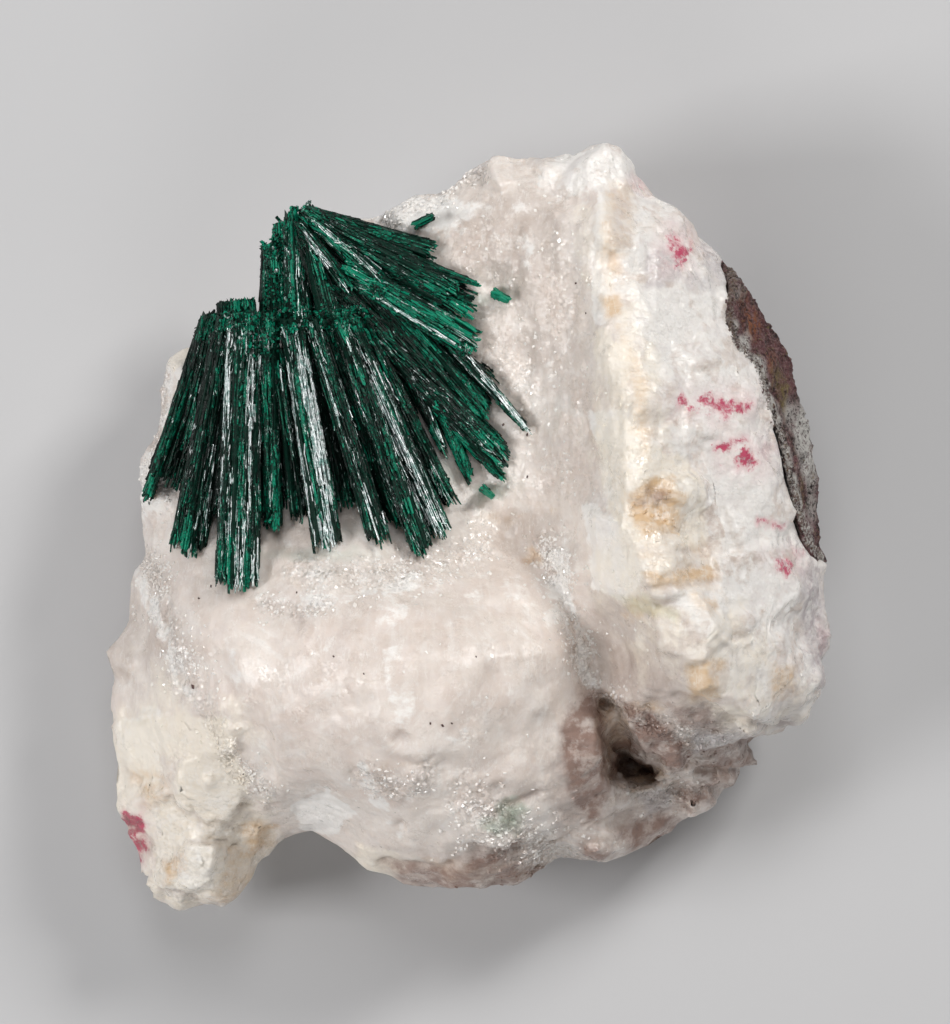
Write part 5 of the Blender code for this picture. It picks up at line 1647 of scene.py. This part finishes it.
class SPECIMEN_OT_rock(bpy.types.Operator):
    """Give the host rock its rough grainy surface"""

    bl_idname = "specimen.rock"
    bl_label = "Host rock"

    def execute(self, context):
        item = dense_copy("host_rock_body", "host_rock", settings().rock_cell, 5)
        mesh = item.data
        points, normals = mesh_points(mesh), mesh_normals(mesh)
        distance, _ = line_distance(points, px_all(SEAM_PX))
        outer = np.clip((distance - 0.2) / 1.0, 0.15, 1)
        lift = 0.42 * facets(points, 1.6, 61, (1.0, 1.2, 1.0))[0]
        lift += 0.24 * clouds(points, 1.1, 67, 3) + 0.10 * clouds(points, 0.5, 83, 2)
        near = np.clip(1.2 - distance, 0, 1)
        low = np.clip(points[:, 2] / BASE_FADE, 0, 1)
        points = points + normals * ((lift * outer + 0.14 * near) * low)[:, None]
        set_points(mesh, points)
        ragged = np.clip(0.9 - (distance + 0.5 * clouds(points, 1.0, 87, 3)) / 0.6, 0, 1)
        ragged = ragged * (0.25 + 0.75 * pale_share(points))
        store(mesh, "rust", patches(points, RUST_PATCHES, 0.4, 71))
        store(mesh, "olive", patches(points, OLIVE_PATCHES, 0.4, 73))
        store(mesh, "pale", np.maximum(patches(points, PALE_PATCHES, 0.4, 79), ragged))
        to_metres(item)
        finish_piece(item, rock_material(), True)
        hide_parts("host_rock")
        return {"FINISHED"}


class SPECIMEN_OT_malachite(bpy.types.Operator):
    """Cover the malachite solids with needles and hackly broken ends"""

    bl_idname = "specimen.malachite"
    bl_label = "Malachite"

    def execute(self, context):
        core = malachite_material("malachite_core", False)
        for node in ("malachite_fan", "stray_crystal_right", "stray_crystal_top",
                     "stray_crystal_low"):
            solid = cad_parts[node]
            solid.data.materials.clear()
            solid.data.materials.append(core)
        surface = malachite_material("malachite_needles", True)
        full = ((0.0, 0.28), (0.22, 0.12), (0.48, 0.10))
        sparse = ((0.0, 0.2), (0.25, 0.1))
        for name, bundles, layers, seed in (
                ("rear_needles", REAR_BUNDLES, full, 101),
                ("front_needles", FRONT_BUNDLES, full, 202),
                ("fill_needles", FILL_BUNDLES, sparse, 303),
                ("stray_needles", STRAY_BUNDLES, sparse, 404)):
            item = needles_piece(name, bundles, layers, seed)
            finish_piece(item, surface, False)
            if triangle_count(item.data) > MOST_TRIANGLES:
                raise RuntimeError("%s has %d triangles" % (name, triangle_count(item.data)))
        self.hackly_ends(surface)
        return {"FINISHED"}

    def hackly_ends(self, surface):
        """Stubby broken fibre ends that stand up where the fan is broken across."""
        draw = np.random.default_rng(404)
        trees = [surface_tree(bpy.data.objects[name]) for name in ("front_needles", "rear_needles")]
        starts, tips, tones = [], [], []
        for centre, reach_x, reach_y, count in HACKLY_ZONES:
            middle = np.array(px(*centre))
            for _ in range(count):
                angle, radius = draw.uniform(0, math.tau), math.sqrt(draw.uniform())
                aside = np.array([math.cos(angle) * reach_x, math.sin(angle) * reach_y])
                spot = middle + aside * radius * MM_PER_PX
                levels = levels_below(trees, *spot)
                if not levels:
                    continue
                level = max(levels)
                lean = draw.normal(0, 0.45, 2)
                length = draw.uniform(0.2, 0.55)
                starts.append((spot[0], spot[1], level - 0.25))
                tips.append((spot[0] + lean[0] * length, spot[1] + lean[1] * length,
                             level - 0.1 + length * draw.uniform(0.0, 0.6)))
                tones.append(draw.uniform(0.2, 0.85))
        count = len(starts)
        width = draw.uniform(0.16, 0.40, count)
        points, faces = needle_mesh(np.array(starts), np.array(tips), width,
                                    width * draw.uniform(0.6, 1.0, count),
                                    draw.uniform(0, math.tau, count),
                                    draw.uniform(-0.08, 0.08, (count, 4)))
        mesh = mesh_from_arrays("hackly_ends", points, faces)
        store(mesh, "tone", np.repeat(np.array(tones), 8))
        store(mesh, "silk", np.repeat((draw.uniform(0, 1, count) < 0.08) * 0.5, 8))
        store(mesh, "across", points[:, 0])
        store(mesh, "along", points[:, 1])
        item = link(bpy.data.objects.new("hackly_ends", mesh))
        finish_piece(item, surface, False)


class SPECIMEN_PT_panel(bpy.types.Panel):
    """Lists the steps that dress the specimen"""

    bl_idname = "SPECIMEN_PT_panel"
    bl_label = "Malachite specimen"
    bl_space_type = "VIEW_3D"
    bl_region_type = "UI"
    bl_category = "Specimen"

    def draw(self, context):
        for step in STEPS:
            self.layout.operator(step.bl_idname)
        for group in (context.scene.specimen_sizes, context.scene.specimen_colors):
            column = self.layout.column()
            for key in group.__annotations__:
                column.prop(group, key)


STEPS = (SPECIMEN_OT_stage, SPECIMEN_OT_calcite, SPECIMEN_OT_rock, SPECIMEN_OT_malachite,
         SPECIMEN_OT_flakes, SPECIMEN_OT_specks)
CLASSES = (SpecimenSizes, SpecimenColors) + STEPS + (SPECIMEN_PT_panel,)


def register():
    """Make the sizes, the colours, the steps and the panel known."""
    for item in CLASSES:
        bpy.utils.register_class(item)
    bpy.types.Scene.specimen_sizes = PointerProperty(type=SpecimenSizes)
    bpy.types.Scene.specimen_colors = PointerProperty(type=SpecimenColors)


def unregister():
    """Take them away again in the opposite order."""
    del bpy.types.Scene.specimen_colors
    del bpy.types.Scene.specimen_sizes
    for item in reversed(CLASSES):
        bpy.utils.unregister_class(item)


def main():
    """Dress the specimen step by step."""
    register()
    bpy.ops.specimen.stage()
    bpy.ops.specimen.calcite()
    bpy.ops.specimen.rock()
    bpy.ops.specimen.malachite()
    bpy.ops.specimen.flakes()
    bpy.ops.specimen.specks()


if __name__ == "__main__":
    main()
